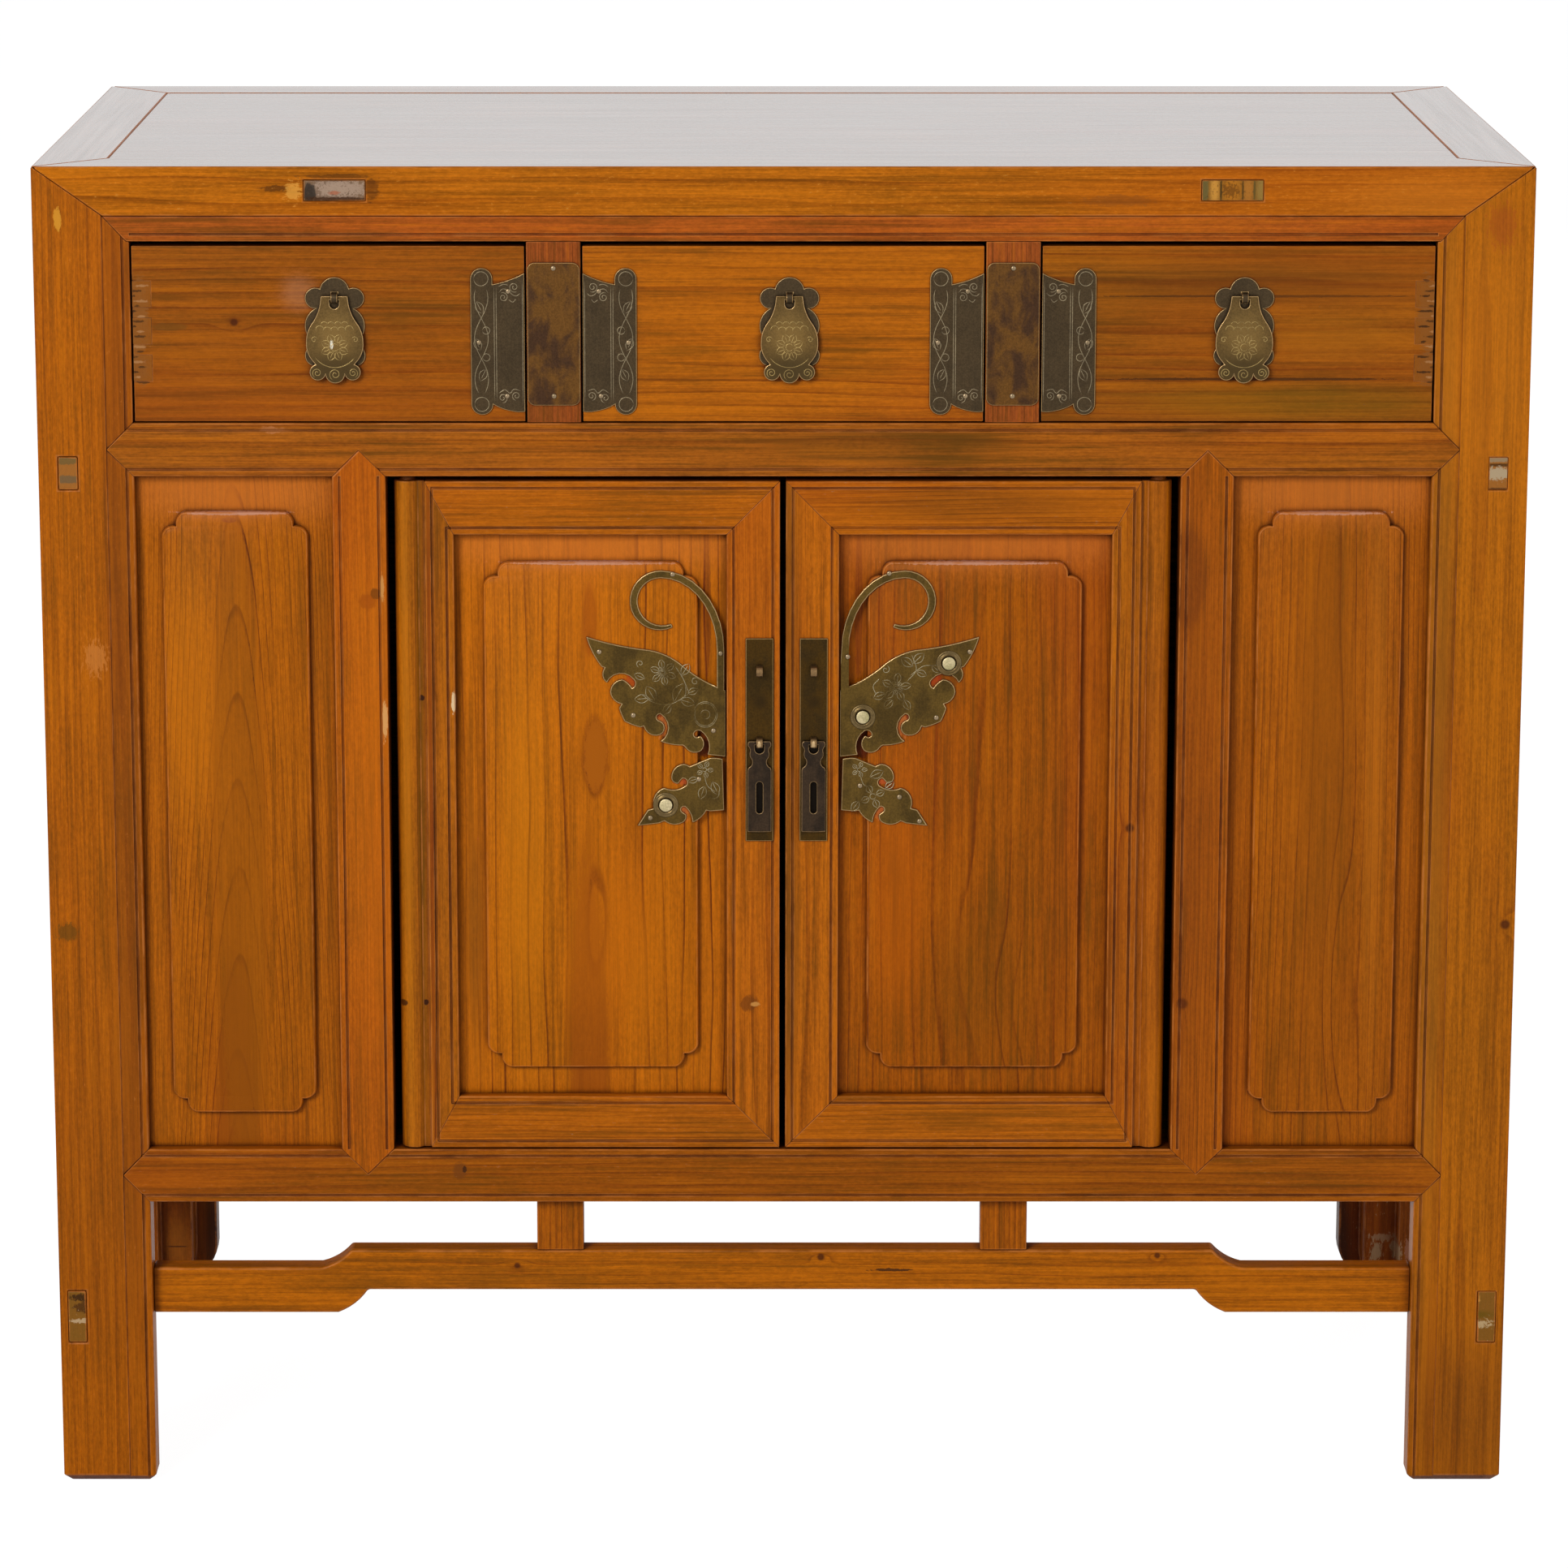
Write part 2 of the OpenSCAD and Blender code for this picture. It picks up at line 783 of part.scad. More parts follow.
module divider_plates() {
    z = drawer_rail_top + (drawer_open_h - divider_plate_h) / 2 - divider_plate_drop;
    r = divider_plate_r;
    w = divider_plate_w;
    h = divider_plate_h;
    color(brass) in_place() both_sides()
        translate([divider_x - w / 2, 0, z]) front_view([divider_in - plate_t, divider_in]) {
            translate([r, 0]) square([w - 2 * r, h]);
            translate([0, r]) square([w, h - 2 * r]);
            for (x = [r, w - r], y = [r, h - r]) translate([x, y]) circle(r);
        }
}

// Raised field with notched corners
module field(x, z) {
    r = corner_reach;
    n = corner_notch;
    b = corner_bulge;
    polygon(outline([
        [x[0] + r, z[0], 0], [x[1] - r, z[0], b], [x[1] - n, z[0] + n, b],
        [x[1], z[0] + r, 0], [x[1], z[1] - r, b], [x[1] - n, z[1] - n, b],
        [x[1] - r, z[1], 0], [x[0] + r, z[1], b], [x[0] + n, z[1] - n, b],
        [x[0], z[1] - r, 0], [x[0], z[0] + r, b], [x[0] + n, z[0] + n, b]
    ]));
}

// Fixed front panel on the right, with the lips that run into its frame
module front_panel_blank() {
    span([mullion_out - panel_lip, post_in + panel_lip], [panel_in, panel_in + panel_t],
        [base_top - panel_lip, drawer_rail_z + panel_lip]);
}

module front_panel(s) {
    color(lacquer) in_place() on_side(s) {
        front_panel_blank();
        front_view([panel_in - field_t, panel_in]) field(
            [mullion_out + side_field_x, post_in - side_field_x],
            [base_top + side_field_z, drawer_rail_z - side_field_z]);
    }
}

module front_panel_left() front_panel(LEFT);
module front_panel_right() front_panel(RIGHT);

// Side frames

// Pointed end of a side rail's face, let into the front post
module side_spear(z, past) {
    side_view([half_w - spear_t, half_w + past]) polygon([
        [post_w + over, z[0]], [post_w, z[0]], [post_flat, middle(z)],
        [post_w, z[1]], [post_w + over, z[1]]
    ]);
}

// Tenon of the upper side rail, right through the front post
module side_through_tenon() {
    half = side_tenon_h / 2;
    span(side_tenon_x, [0, post_w], [side_mid_z - half, side_mid_z + half]);
}

// Tenon of the lower side rail, which stops inside the front post
module side_blind_tenon() {
    half = side_tenon_h / 2;
    span(side_tenon_x, [post_w - tenon_len, post_w], [middle(side_low) - half, middle(side_low) + half]);
}

module side_rail_blank(z) {
    difference() {
        union() {
            span([half_w - side_rail_t, half_w], [post_w, case_d - post_w], z);
            both_depths() side_spear(z, 0);
        }
        for (z0 = [z[0] + bead_w, z[1] - bead_w - line_w])
            span([half_w - line_d, half_w + over], [post_flat, case_d - post_flat], [z0, z0 + line_w]);
    }
}

module side_rails() {
    color(lacquer) in_place() both_sides() difference() {
        union() {
            side_rail_blank(side_mid);
            side_rail_blank(side_low);
            both_depths() {
                side_through_tenon();
                side_blind_tenon();
            }
        }
        side_panel_blank(upper_side_panel_z());
        side_panel_blank(lower_side_panel_z());
        floor_blank();
    }
}

// Tenon of a low side stretcher, right through the front post
module low_tenon() {
    z = low_z + (low_h - low_tenon_h) / 2;
    span(low_tenon_x, [0, post_w], [z, z + low_tenon_h]);
}

module side_stretchers() {
    color(lacquer) in_place() both_sides() {
        span([low_out - low_t, low_out], [post_w, case_d - post_w], [low_z, low_z + low_h]);
        both_depths() low_tenon();
    }
}

function upper_side_panel_z() = [side_mid[1], frame_z];
function lower_side_panel_z() = [side_low[1], side_mid[0]];

// Right side panel that shows between the levels of z
module side_panel_blank(z) {
    x = half_w - back_panel_in;
    span([x - back_panel_t, x], [post_w - panel_lip, case_d - post_w + panel_lip],
        [z[0] - panel_lip, z[1] + panel_lip]);
}

module side_panels() {
    color(lacquer) in_place() both_sides() {
        side_panel_blank(upper_side_panel_z());
        side_panel_blank(lower_side_panel_z());
    }
}

// Back, drawn at the front and moved to the rear

function upper_back_panel_z() = [drawer_rail_top, frame_z];
function lower_back_panel_z() = [base_top, drawer_rail_z];

module back_panel_blank(z) {
    lip = post_in + panel_lip;
    span([-lip, lip], [back_panel_in, back_panel_in + back_panel_t],
        [z[0] - panel_lip, z[1] + panel_lip]);
}

module back_rail_blank(z) {
    span([-post_in, post_in], [0, rail_d], z);
    both_sides() rail_tenon(z);
}

module back_rails() {
    color(inner_wood) in_place() difference() {
        at_depth(true) difference() {
            union() {
                back_rail_blank([drawer_rail_z, drawer_rail_top]);
                back_rail_blank([base_z, base_top]);
            }
            back_panel_blank(upper_back_panel_z());
            back_panel_blank(lower_back_panel_z());
        }
        floor_blank();
        both_sides() runner_blanks();
    }
}

module back_panels() {
    color(inner_wood) in_place() at_depth(true) {
        back_panel_blank(upper_back_panel_z());
        back_panel_blank(lower_back_panel_z());
    }
}

// Inside

// Extent of the floor, let into the rails all round
floor_x = [-half_w + side_rail_t - panel_lip, half_w - side_rail_t + panel_lip];
floor_y = [rail_d - panel_lip, case_d - rail_d + panel_lip];
floor_z = [base_top - floor_drop - floor_t, base_top - floor_drop];

module floor_blank() {
    span(floor_x, floor_y, floor_z);
}

module floor_boards() {
    board = (floor_y[1] - floor_y[0]) / floor_boards_n;
    gap = board_gap / 2;
    color(inner_wood) in_place() difference() {
        for (y = [floor_y[0]:board:floor_y[1] - board / 2])
            span(floor_x, [y + gap, y + board - gap], floor_z);
        both_sides() both_depths()
            span([core_in - floor_gap, half_w], [0, post_w + floor_gap], floor_z + over * [-1, 1]);
    }
}

// Runner and guide beside the right divider, and the same against the right post
module runner_blanks() {
    y = [rail_d, case_d - rail_d];
    seat = [rail_d - stub_len, case_d - rail_d + stub_len];
    inner = [divider_x - divider_w / 2, divider_x + divider_w / 2];
    outer = [post_in, core_in];
    ledge = runner_ledge;
    tenon = [runner_z + tenon_shoulder, runner_z + tenon_shoulder + tenon_t];
    span([inner[0] - ledge, inner[1] + ledge], y, [runner_z, runner_top]);
    span(inner, y, [runner_top, runner_top + guide_h]);
    span(inner, seat, tenon);
    span([outer[0] - ledge, outer[1] - floor_gap], y, [runner_z, runner_top]);
    span([outer[0], outer[1] - floor_gap], y, [runner_top, runner_top + guide_h]);
    span([outer[0] - ledge, outer[0]], seat, tenon);
}

module drawer_runners() {
    color(inner_wood) in_place() both_sides() runner_blanks();
}

// Stretcher

module stretcher_tenon() {
    y = stretcher_in + stretcher_tenon_in;
    span([post_in, post_in + tenon_len], [y, y + stretcher_tenon_t],
        [stretcher_z + tenon_shoulder, stretcher_top - tenon_shoulder]);
}

// Front face of the hump-backed stretcher
module stretcher_face() {
    b = sweep_bulge;
    polygon(outline([
        [-post_in, stretcher_z, 0],
        [-hump_low_x - hump_sweep, stretcher_z, b], [-hump_low_x, hump_z, 0],
        [hump_low_x, hump_z, b], [hump_low_x + hump_sweep, stretcher_z, 0],
        [post_in, stretcher_z, 0], [post_in, stretcher_top, 0],
        [hump_top_x + hump_sweep, stretcher_top, -b], [hump_top_x, hump_top, 0],
        [-hump_top_x, hump_top, -b], [-hump_top_x - hump_sweep, stretcher_top, 0],
        [-post_in, stretcher_top, 0]
    ]));
}

module front_stretcher() {
    color(lacquer) in_place() difference() {
        union() {
            front_view([stretcher_in, stretcher_in + stretcher_t]) stretcher_face();
            both_sides() stretcher_tenon();
        }
        both_sides() strut();
    }
}

// Right strut with its tenons
module strut() {
    y = middle([stretcher_in, stretcher_in + stretcher_t]);
    half = stretcher_tenon_t / 2;
    span([divider_x - strut_w / 2, divider_x + strut_w / 2],
        [stretcher_in, stretcher_in + stretcher_t], [hump_top, base_z]);
    span([divider_x - stub_w / 2, divider_x + stub_w / 2], [y - half, y + half],
        [hump_top - stub_len, base_z + stub_len]);
}

module stretcher_struts() {
    color(lacquer) in_place() both_sides() strut();
}

// Doors, drawn as the right door

// Outline of a door without its round edge
module door_lines() {
    inner = [[opening_in, opening_z], [opening_out, opening_top]];
    outer = [[door_edge_in, door_z], [door_edge_out, door_top]];
    ring(outer, bead_w, bead_w + line_w);
    ring(inner, -bead_w - line_w, -bead_w);
}

// Line that runs round a rectangle between two distances inside it
module ring(r, near, far) {
    difference() {
        translate(r[0] + [near, near]) square(r[1] - r[0] - 2 * [near, near]);
        translate(r[0] + [far, far]) square(r[1] - r[0] - 2 * [far, far]);
    }
}

// Face of a door's upper or lower rail, mitred to the stiles
module door_rail_face(upper) {
    z = upper ? [opening_top, door_top] : [opening_z, door_z];
    polygon([
        [opening_in, z[0]], [door_edge_in, z[1]], [door_edge_out, z[1]], [opening_out, z[0]]
    ]);
}

module door_rail_tenon(upper) {
    s = door_tenon_shoulder;
    z = upper ? [opening_top + s, door_top - s] : [door_z + s, opening_z - s];
    span([opening_in - meeting_tenon_len, opening_out + hinge_tenon_len], door_tenon_y, z);
}

module door_rail_blank(upper) {
    front_view(door_y) door_rail_face(upper);
    door_rail_tenon(upper);
}

module door_panel_blank() {
    span([opening_in - panel_lip, opening_out + panel_lip], [door_panel_y, door_panel_y + panel_t],
        [opening_z - panel_lip, opening_top + panel_lip]);
}

module door_hinge_stile(s) {
    color(lacquer) in_place() on_side(s) difference() {
        union() {
            span([opening_out, door_edge_out], door_y, [door_z, door_top]);
            span([door_edge_out, axis_x], [door_in + pivot_channel_d, axis_y + pivot_r], [door_z, door_top]);
            translate([axis_x, axis_y, door_z]) cylinder(r = pivot_r, h = door_top - door_z);
            translate([axis_x, axis_y, door_z - pin_len])
                cylinder(r = pin_r, h = door_top - door_z + 2 * pin_len);
        }
        door_rail_blank(true);
        door_rail_blank(false);
        door_panel_blank();
        front_view([door_in - over, door_in + line_d]) door_lines();
    }
}

module door_meeting_stile(s) {
    color(lacquer) in_place() on_side(s) difference() {
        span([door_edge_in, opening_in], door_y, [door_z, door_top]);
        door_rail_blank(true);
        door_rail_blank(false);
        door_panel_blank();
        front_view([door_in - over, door_in + line_d]) door_lines();
    }
}

module door_rails(s) {
    color(lacquer) in_place() on_side(s) difference() {
        union() {
            door_rail_blank(true);
            door_rail_blank(false);
        }
        door_panel_blank();
        front_view([door_in - over, door_in + line_d]) door_lines();
    }
}

module door_panel(s) {
    color(lacquer) in_place() on_side(s) {
        door_panel_blank();
        front_view([door_field_y, door_panel_y]) field(
            [opening_in + door_field_x, opening_out - door_field_x],
            [opening_z + door_field_z, opening_top - door_field_z]);
    }
}

// Where a door's lock plate stands, on its own side
function lock_x(s) = s < 0 ? lock_left_x : lock_right_x;

module door_lock_plate(s) {
    z = door_z + lock_z;
    color(brass) in_place() on_side(s)
        span([lock_x(s) - lock_w / 2, lock_x(s) + lock_w / 2], [door_plate_y, door_in], [z, z + lock_h]);
}

// Staple that stands off a plate whose front is at y = 0, its eye at the height 0
module staple(stand) {
    side_view([-staple_w / 2, staple_w / 2]) difference() {
        union() {
            intersection() {
                translate([-stand, 0]) circle(ring_out);
                translate([-stand - ring_out, -ring_out]) square([ring_out, 2 * ring_out]);
            }
            translate([-stand, -ring_out]) square([stand, 2 * ring_out]);
        }
        translate([-stand, 0]) circle(staple_r);
        translate([-stand, -staple_r]) square([stand + over, 2 * staple_r]);
    }
}

module door_staples(s) {
    z = door_z + lock_z;
    color(brass_pull) in_place() on_side(s) {
        translate([lock_x(s), door_plate_y, z + hasp_z]) staple(hasp_stand);
        translate([lock_x(s), door_plate_y, z + tag_z]) staple(staple_r);
    }
}

// Eye under the bar that a pull hangs by
module pull_eye() {
    low = -bar_h / 2 - hole_h + hole_r;
    translate([-hole_r, low]) square([2 * hole_r, -bar_h / 2 - low]);
    translate([0, low]) circle(hole_r);
}

// Right half of a door's hanging tag, its bar at the origin
tag_side = [
    [7.9, -59.5, 0], [7.9, -18.5, 0.3], [5.9, -15.5, -0.4], [5.8, -10, 0.2],
    [6.4, -6, -0.3], [7.6, -2, 0.3], [6.8, bar_h / 2, 0]
];
tag_bulge = 0.03;
// Slot in the tag
slot_r = 2.1;
slot_y = [-45, -28];

module tag_face() {
    difference() {
        polygon(both_halves(tag_side, tag_bulge));
        pull_eye();
        for (y = slot_y) translate([0, y]) circle(slot_r);
        translate([-slot_r, slot_y[0]]) square([2 * slot_r, slot_y[1] - slot_y[0]]);
    }
}

module door_pull(s) {
    y = door_plate_y - staple_r;
    color(brass_pull) in_place() on_side(s) translate([lock_x(s), 0, door_z + lock_z + tag_z])
        front_view([y - pull_t / 2, y + pull_t / 2]) tag_face();
}

// Upper wing: x runs out from its straight inner edge, y up from its lower one
upper_wing = [
    [0, -0.5, 0], [12.3, 0.9, -0.36], [16.6, 16.8, -0.45], [20.8, 15.2, -0.45],
    [19.3, 12.8, -0.2], [17, 13.9, 0.45], [16, 3.6, 0.38], [25.8, 4.6, -0.1],
    [28.2, 7.1, 0.1], [43.2, 9.9, -0.56], [43, 28.2, -1], [43.2, 23.9, 0.67],
    [43.2, 14.1, 0.44], [53.9, 19.9, 0], [55.9, 19.2, 0.06], [66.5, 23.3, 0.05],
    [70, 32.2, 0], [68.5, 34.9, 0.33], [75.8, 43, 0.39], [67.6, 51.6, 0.15],
    [61.3, 45.8, -0.55], [60.4, 51.2, -0.58], [77.8, 49, 0.42], [79.4, 59.2, 0],
    [81.3, 59.8, 0.1], [91.2, 80, -0.055], [49.6, 71.1, 0.12], [30, 62.2, -0.1],
    [0, 44.2, 0]
];

// Lower wing, in the same frame
lower_wing = [
    [1, -36.5, 0], [10.5, -37.2, 0], [12.8, -36.7, 0.19], [22.2, -44.9, -0.22],
    [27, -34.1, -0.9], [28.4, -37.6, 0], [26.1, -39.2, 0.4], [29, -45.1, 0.3],
    [40.4, -43.8, 0], [44, -45.3, 0], [58.3, -47, 0], [52.2, -37.4, 0],
    [51.3, -36, 0], [47.3, -35, 0.44], [40.4, -21.2, -0.27], [27.3, -20.2, -0.83],
    [28.2, -15, -0.1], [31.2, -18.6, 0.45], [36, -14.2, 0.39], [27.8, -5.1, 0.12],
    [23.7, -6.7, 0], [10.6, -1.1, 0.1], [2, -1.8, 0]
];

// Feeler: a quarter of an ellipse rises from the wing into a curl
feeler_x = 3.4;
feeler_root = 20;
feeler_start = 70.8;
feeler_curl_x = 42.3;
feeler_curl_y = 103.6;
feeler_end = -114;
feeler_step = 12;
taper_angle = 90;
rise_step = 10;

module feeler() {
    a = feeler_curl_x - feeler_x;
    b = feeler_curl_y + feeler_r - feeler_start;
    function rise(t, side) = [
        feeler_curl_x - (a + side * feeler_w / 2) * cos(t),
        feeler_start + (b + side * feeler_w / 2) * sin(t)
    ];
    function curl(t, side) =
        let (w = feeler_w + (feeler_tip - feeler_w) * max(0, 1 - (t - feeler_end) / taper_angle))
        [feeler_curl_x, feeler_curl_y] + (feeler_r + side * w / 2) * [cos(t), sin(t)];
    polygon(concat(
        [[feeler_x - feeler_w / 2, feeler_root]],
        [for (t = [0:rise_step:90 - rise_step]) rise(t, 1)],
        [for (t = [90:-feeler_step:feeler_end]) curl(t, 1)],
        [for (t = [feeler_end:feeler_step:90]) curl(t, -1)],
        [for (t = [90 - rise_step:-rise_step:0]) rise(t, -1)],
        [[feeler_x + feeler_w / 2, feeler_root]]
    ));
}

module door_butterfly(s) {
    color(brass) in_place() on_side(s) translate([wing_x, 0, door_z + wing_z])
        front_view([wing_y, door_field_y]) {
            polygon(outline(upper_wing));
            polygon(outline(lower_wing));
            difference() {
                feeler();
                polygon(outline(upper_wing));
            }
        }
}

module door_left_hinge_stile() door_hinge_stile(LEFT);
module door_left_meeting_stile() door_meeting_stile(LEFT);
module door_left_rails() door_rails(LEFT);
module door_left_panel() door_panel(LEFT);
module door_left_lock_plate() door_lock_plate(LEFT);
module door_left_butterfly() door_butterfly(LEFT);
module door_left_staples() door_staples(LEFT);
module door_left_pull() door_pull(LEFT);
module door_right_hinge_stile() door_hinge_stile(RIGHT);
module door_right_meeting_stile() door_meeting_stile(RIGHT);
module door_right_rails() door_rails(RIGHT);
module door_right_panel() door_panel(RIGHT);
module door_right_lock_plate() door_lock_plate(RIGHT);
module door_right_butterfly() door_butterfly(RIGHT);
module door_right_staples() door_staples(RIGHT);
module door_right_pull() door_pull(RIGHT);

// Drawers

// Side view of the dovetails between a wide and a narrow end
module tails(wide_y, narrow_y) {
    for (i = [0:tail_n - 1]) {
        z = drawer_z + tail_mid_z + (i - (tail_n - 1) / 2) * tail_pitch;
        polygon([
            [wide_y, z - tail_wide / 2], [narrow_y, z - tail_narrow / 2],
            [narrow_y, z + tail_narrow / 2], [wide_y, z + tail_wide / 2]
        ]);
    }
}

// Side of a drawer between x[0] and x[1], with dovetails at both ends
module drawer_side(x) {
    side_view(x) {
        translate([drawer_front_y[1], drawer_z])
            square([drawer_back_y[0] - drawer_front_y[1], drawer_side_top - drawer_z]);
        tails(drawer_front_y[0], drawer_front_y[1]);
        tails(drawer_back_y[1], drawer_back_y[0]);
    }
}

module drawer_sides_blank(i) {
    x = drawer_x(i);
    drawer_side([x[0], x[0] + drawer_side_t]);
    drawer_side([x[1] - drawer_side_t, x[1]]);
}

module drawer_bottom_blank(i) {
    x = drawer_x(i);
    in = drawer_side_t - drawer_groove;
    span([x[0] + in, x[1] - in],
        [drawer_front_y[1] - drawer_groove, drawer_back_y[0] + drawer_groove], drawer_bottom);
}

module drawer_front(i) {
    color(lacquer) in_place() difference() {
        span(drawer_x(i), drawer_front_y, [drawer_z, drawer_top]);
        drawer_sides_blank(i);
        drawer_bottom_blank(i);
    }
}

module drawer_sides(i) {
    color(inner_wood) in_place() difference() {
        drawer_sides_blank(i);
        drawer_bottom_blank(i);
    }
}

module drawer_back(i) {
    color(inner_wood) in_place() difference() {
        span(drawer_x(i), drawer_back_y, [drawer_z, drawer_side_top]);
        drawer_sides_blank(i);
        drawer_bottom_blank(i);
    }
}

module drawer_floor(i) {
    color(inner_wood) in_place() drawer_bottom_blank(i);
}

// Scalloped plate behind a drawer's pull: middle and radius of each right-hand
// lobe, and the core that joins them, with the pull's bar at the origin
plate_lobes = [
    [0, 3.5, 9.6], [12.3, -0.5, 6.8], [6.5, -18.5, 12.8], [12.6, -37.8, 6.9], [0, -41, 9]
];
plate_core_x = [-12, 12];
plate_core_y = [-42, 2];

module handle_plate_face() {
    for (l = plate_lobes, s = [LEFT, RIGHT]) translate([s * l.x, l.y]) circle(l[2]);
    translate([plate_core_x[0], plate_core_y[0]])
        square([plate_core_x[1] - plate_core_x[0], plate_core_y[1] - plate_core_y[0]]);
}

// Right half of a drawer's drop, its bar at the origin, and the lobes of its foot
drop_side = [
    [9, -48, 0], [13.6, -42, 0.22], [18.5, -28.5, 0.14], [15.2, -17.2, -0.12],
    [9.3, -4, 0], [8.6, bar_h / 2, 0]
];
drop_lobes = [[0, -49, 6.4], [11.2, -48.2, 5.3]];

module drop_face() {
    difference() {
        union() {
            polygon(both_halves(drop_side, 0));
            for (l = drop_lobes, s = [LEFT, RIGHT]) translate([s * l.x, l.y]) circle(l[2]);
        }
        pull_eye();
    }
}

// Edges of a scroll plate's flag: its lower edge where it leaves the roll, dips
// and ends, and how far its upper edge stops below the roll's top
flag_root = 9;
flag_low = 6.8;
flag_dip = 2.4;
flag_dip_at = 0.75;
flag_end = 2;
flag_bulge = 0.1;
flag_top = 10.5;
flag_top_end = 3.2;
flag_top_bulge = -0.08;

// Scroll plate: a rolled edge on the left and a flag that ends at x = scroll_w
module scroll_face() {
    r = roll_w / 2;
    h = scroll_h;
    w = scroll_w;
    translate([0, r]) square([roll_w, h - roll_w]);
    for (y = [r, h - r]) translate([r, y]) circle(r);
    polygon(outline([
        [r, flag_root, 0], [roll_w, flag_low, flag_bulge], [w * flag_dip_at, flag_dip, flag_bulge],
        [w, flag_end, 0], [w, h - flag_top_end, flag_top_bulge], [roll_w, h - flag_top, 0],
        [r, h - flag_top, 0]
    ]));
}

// Scroll plate at one end of a drawer's front
module scroll_plate(i, end) {
    x = end < 0 ? drawer_x(i)[0] : drawer_x(i)[1];
    translate([x, 0, drawer_z + scroll_z]) mirror([end < 0 ? 1 : 0, 0, 0])
        translate([-scroll_w, 0, 0]) front_view([drawer_plate_y, drawer_in]) scroll_face();
}

module drawer_fittings(i) {
    color(brass) in_place() {
        translate([middle(drawer_x(i)) + handle_x, 0, drawer_z + handle_z]) {
            front_view([drawer_plate_y, drawer_in]) handle_plate_face();
            translate([0, drawer_plate_y, 0]) staple(staple_r);
        }
        if (i != RIGHT) scroll_plate(i, RIGHT);
        if (i != LEFT) scroll_plate(i, LEFT);
    }
}

module drawer_pull(i) {
    y = drawer_plate_y - staple_r;
    color(brass_pull) in_place() translate([middle(drawer_x(i)) + handle_x, 0, drawer_z + handle_z])
        front_view([y - pull_t / 2, y + pull_t / 2]) drop_face();
}

module drawer_left_front() drawer_front(LEFT);
module drawer_left_sides() drawer_sides(LEFT);
module drawer_left_back() drawer_back(LEFT);
module drawer_left_bottom() drawer_floor(LEFT);
module drawer_left_fittings() drawer_fittings(LEFT);
module drawer_left_pull() drawer_pull(LEFT);
module drawer_middle_front() drawer_front(MIDDLE);
module drawer_middle_sides() drawer_sides(MIDDLE);
module drawer_middle_back() drawer_back(MIDDLE);
module drawer_middle_bottom() drawer_floor(MIDDLE);
module drawer_middle_fittings() drawer_fittings(MIDDLE);
module drawer_middle_pull() drawer_pull(MIDDLE);
module drawer_right_front() drawer_front(RIGHT);
module drawer_right_sides() drawer_sides(RIGHT);
module drawer_right_back() drawer_back(RIGHT);
module drawer_right_bottom() drawer_floor(RIGHT);
module drawer_right_fittings() drawer_fittings(RIGHT);
module drawer_right_pull() drawer_pull(RIGHT);

post_front_left();
post_front_right();
post_rear_left();
post_rear_right();
top_rail_front();
top_rail_rear();
top_end_rails();
top_panel();
top_battens();
frieze_strip();
drawer_rail();
base_rail();
mullions();
front_panel_left();
front_panel_right();
drawer_dividers();
divider_plates();
side_rails();
side_stretchers();
side_panels();
back_rails();
back_panels();
floor_boards();
drawer_runners();
front_stretcher();
stretcher_struts();
door_left_hinge_stile();
door_left_meeting_stile();
door_left_rails();
door_left_panel();
door_left_lock_plate();
door_left_butterfly();
door_left_staples();
door_left_pull();
door_right_hinge_stile();
door_right_meeting_stile();
door_right_rails();
door_right_panel();
door_right_lock_plate();
door_right_butterfly();
door_right_staples();
door_right_pull();
drawer_left_front();
drawer_left_sides();
drawer_left_back();
drawer_left_bottom();
drawer_left_fittings();
drawer_left_pull();
drawer_middle_front();
drawer_middle_sides();
drawer_middle_back();
drawer_middle_bottom();
drawer_middle_fittings();
drawer_middle_pull();
drawer_right_front();
drawer_right_sides();
drawer_right_back();
drawer_right_bottom();
drawer_right_fittings();
drawer_right_pull();
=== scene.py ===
"""Looks of the lacquered side cabinet: figured softwood under honey lacquer, with aged brass plates.

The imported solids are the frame. Each wooden piece and each plate gets a softened copy that stands
for it, and nails, studs and engraved lines are added on the plates. Lengths in the tables are in
millimetres, as a maker would write them, and are turned into metres where a mesh is made.
"""

import json
import math

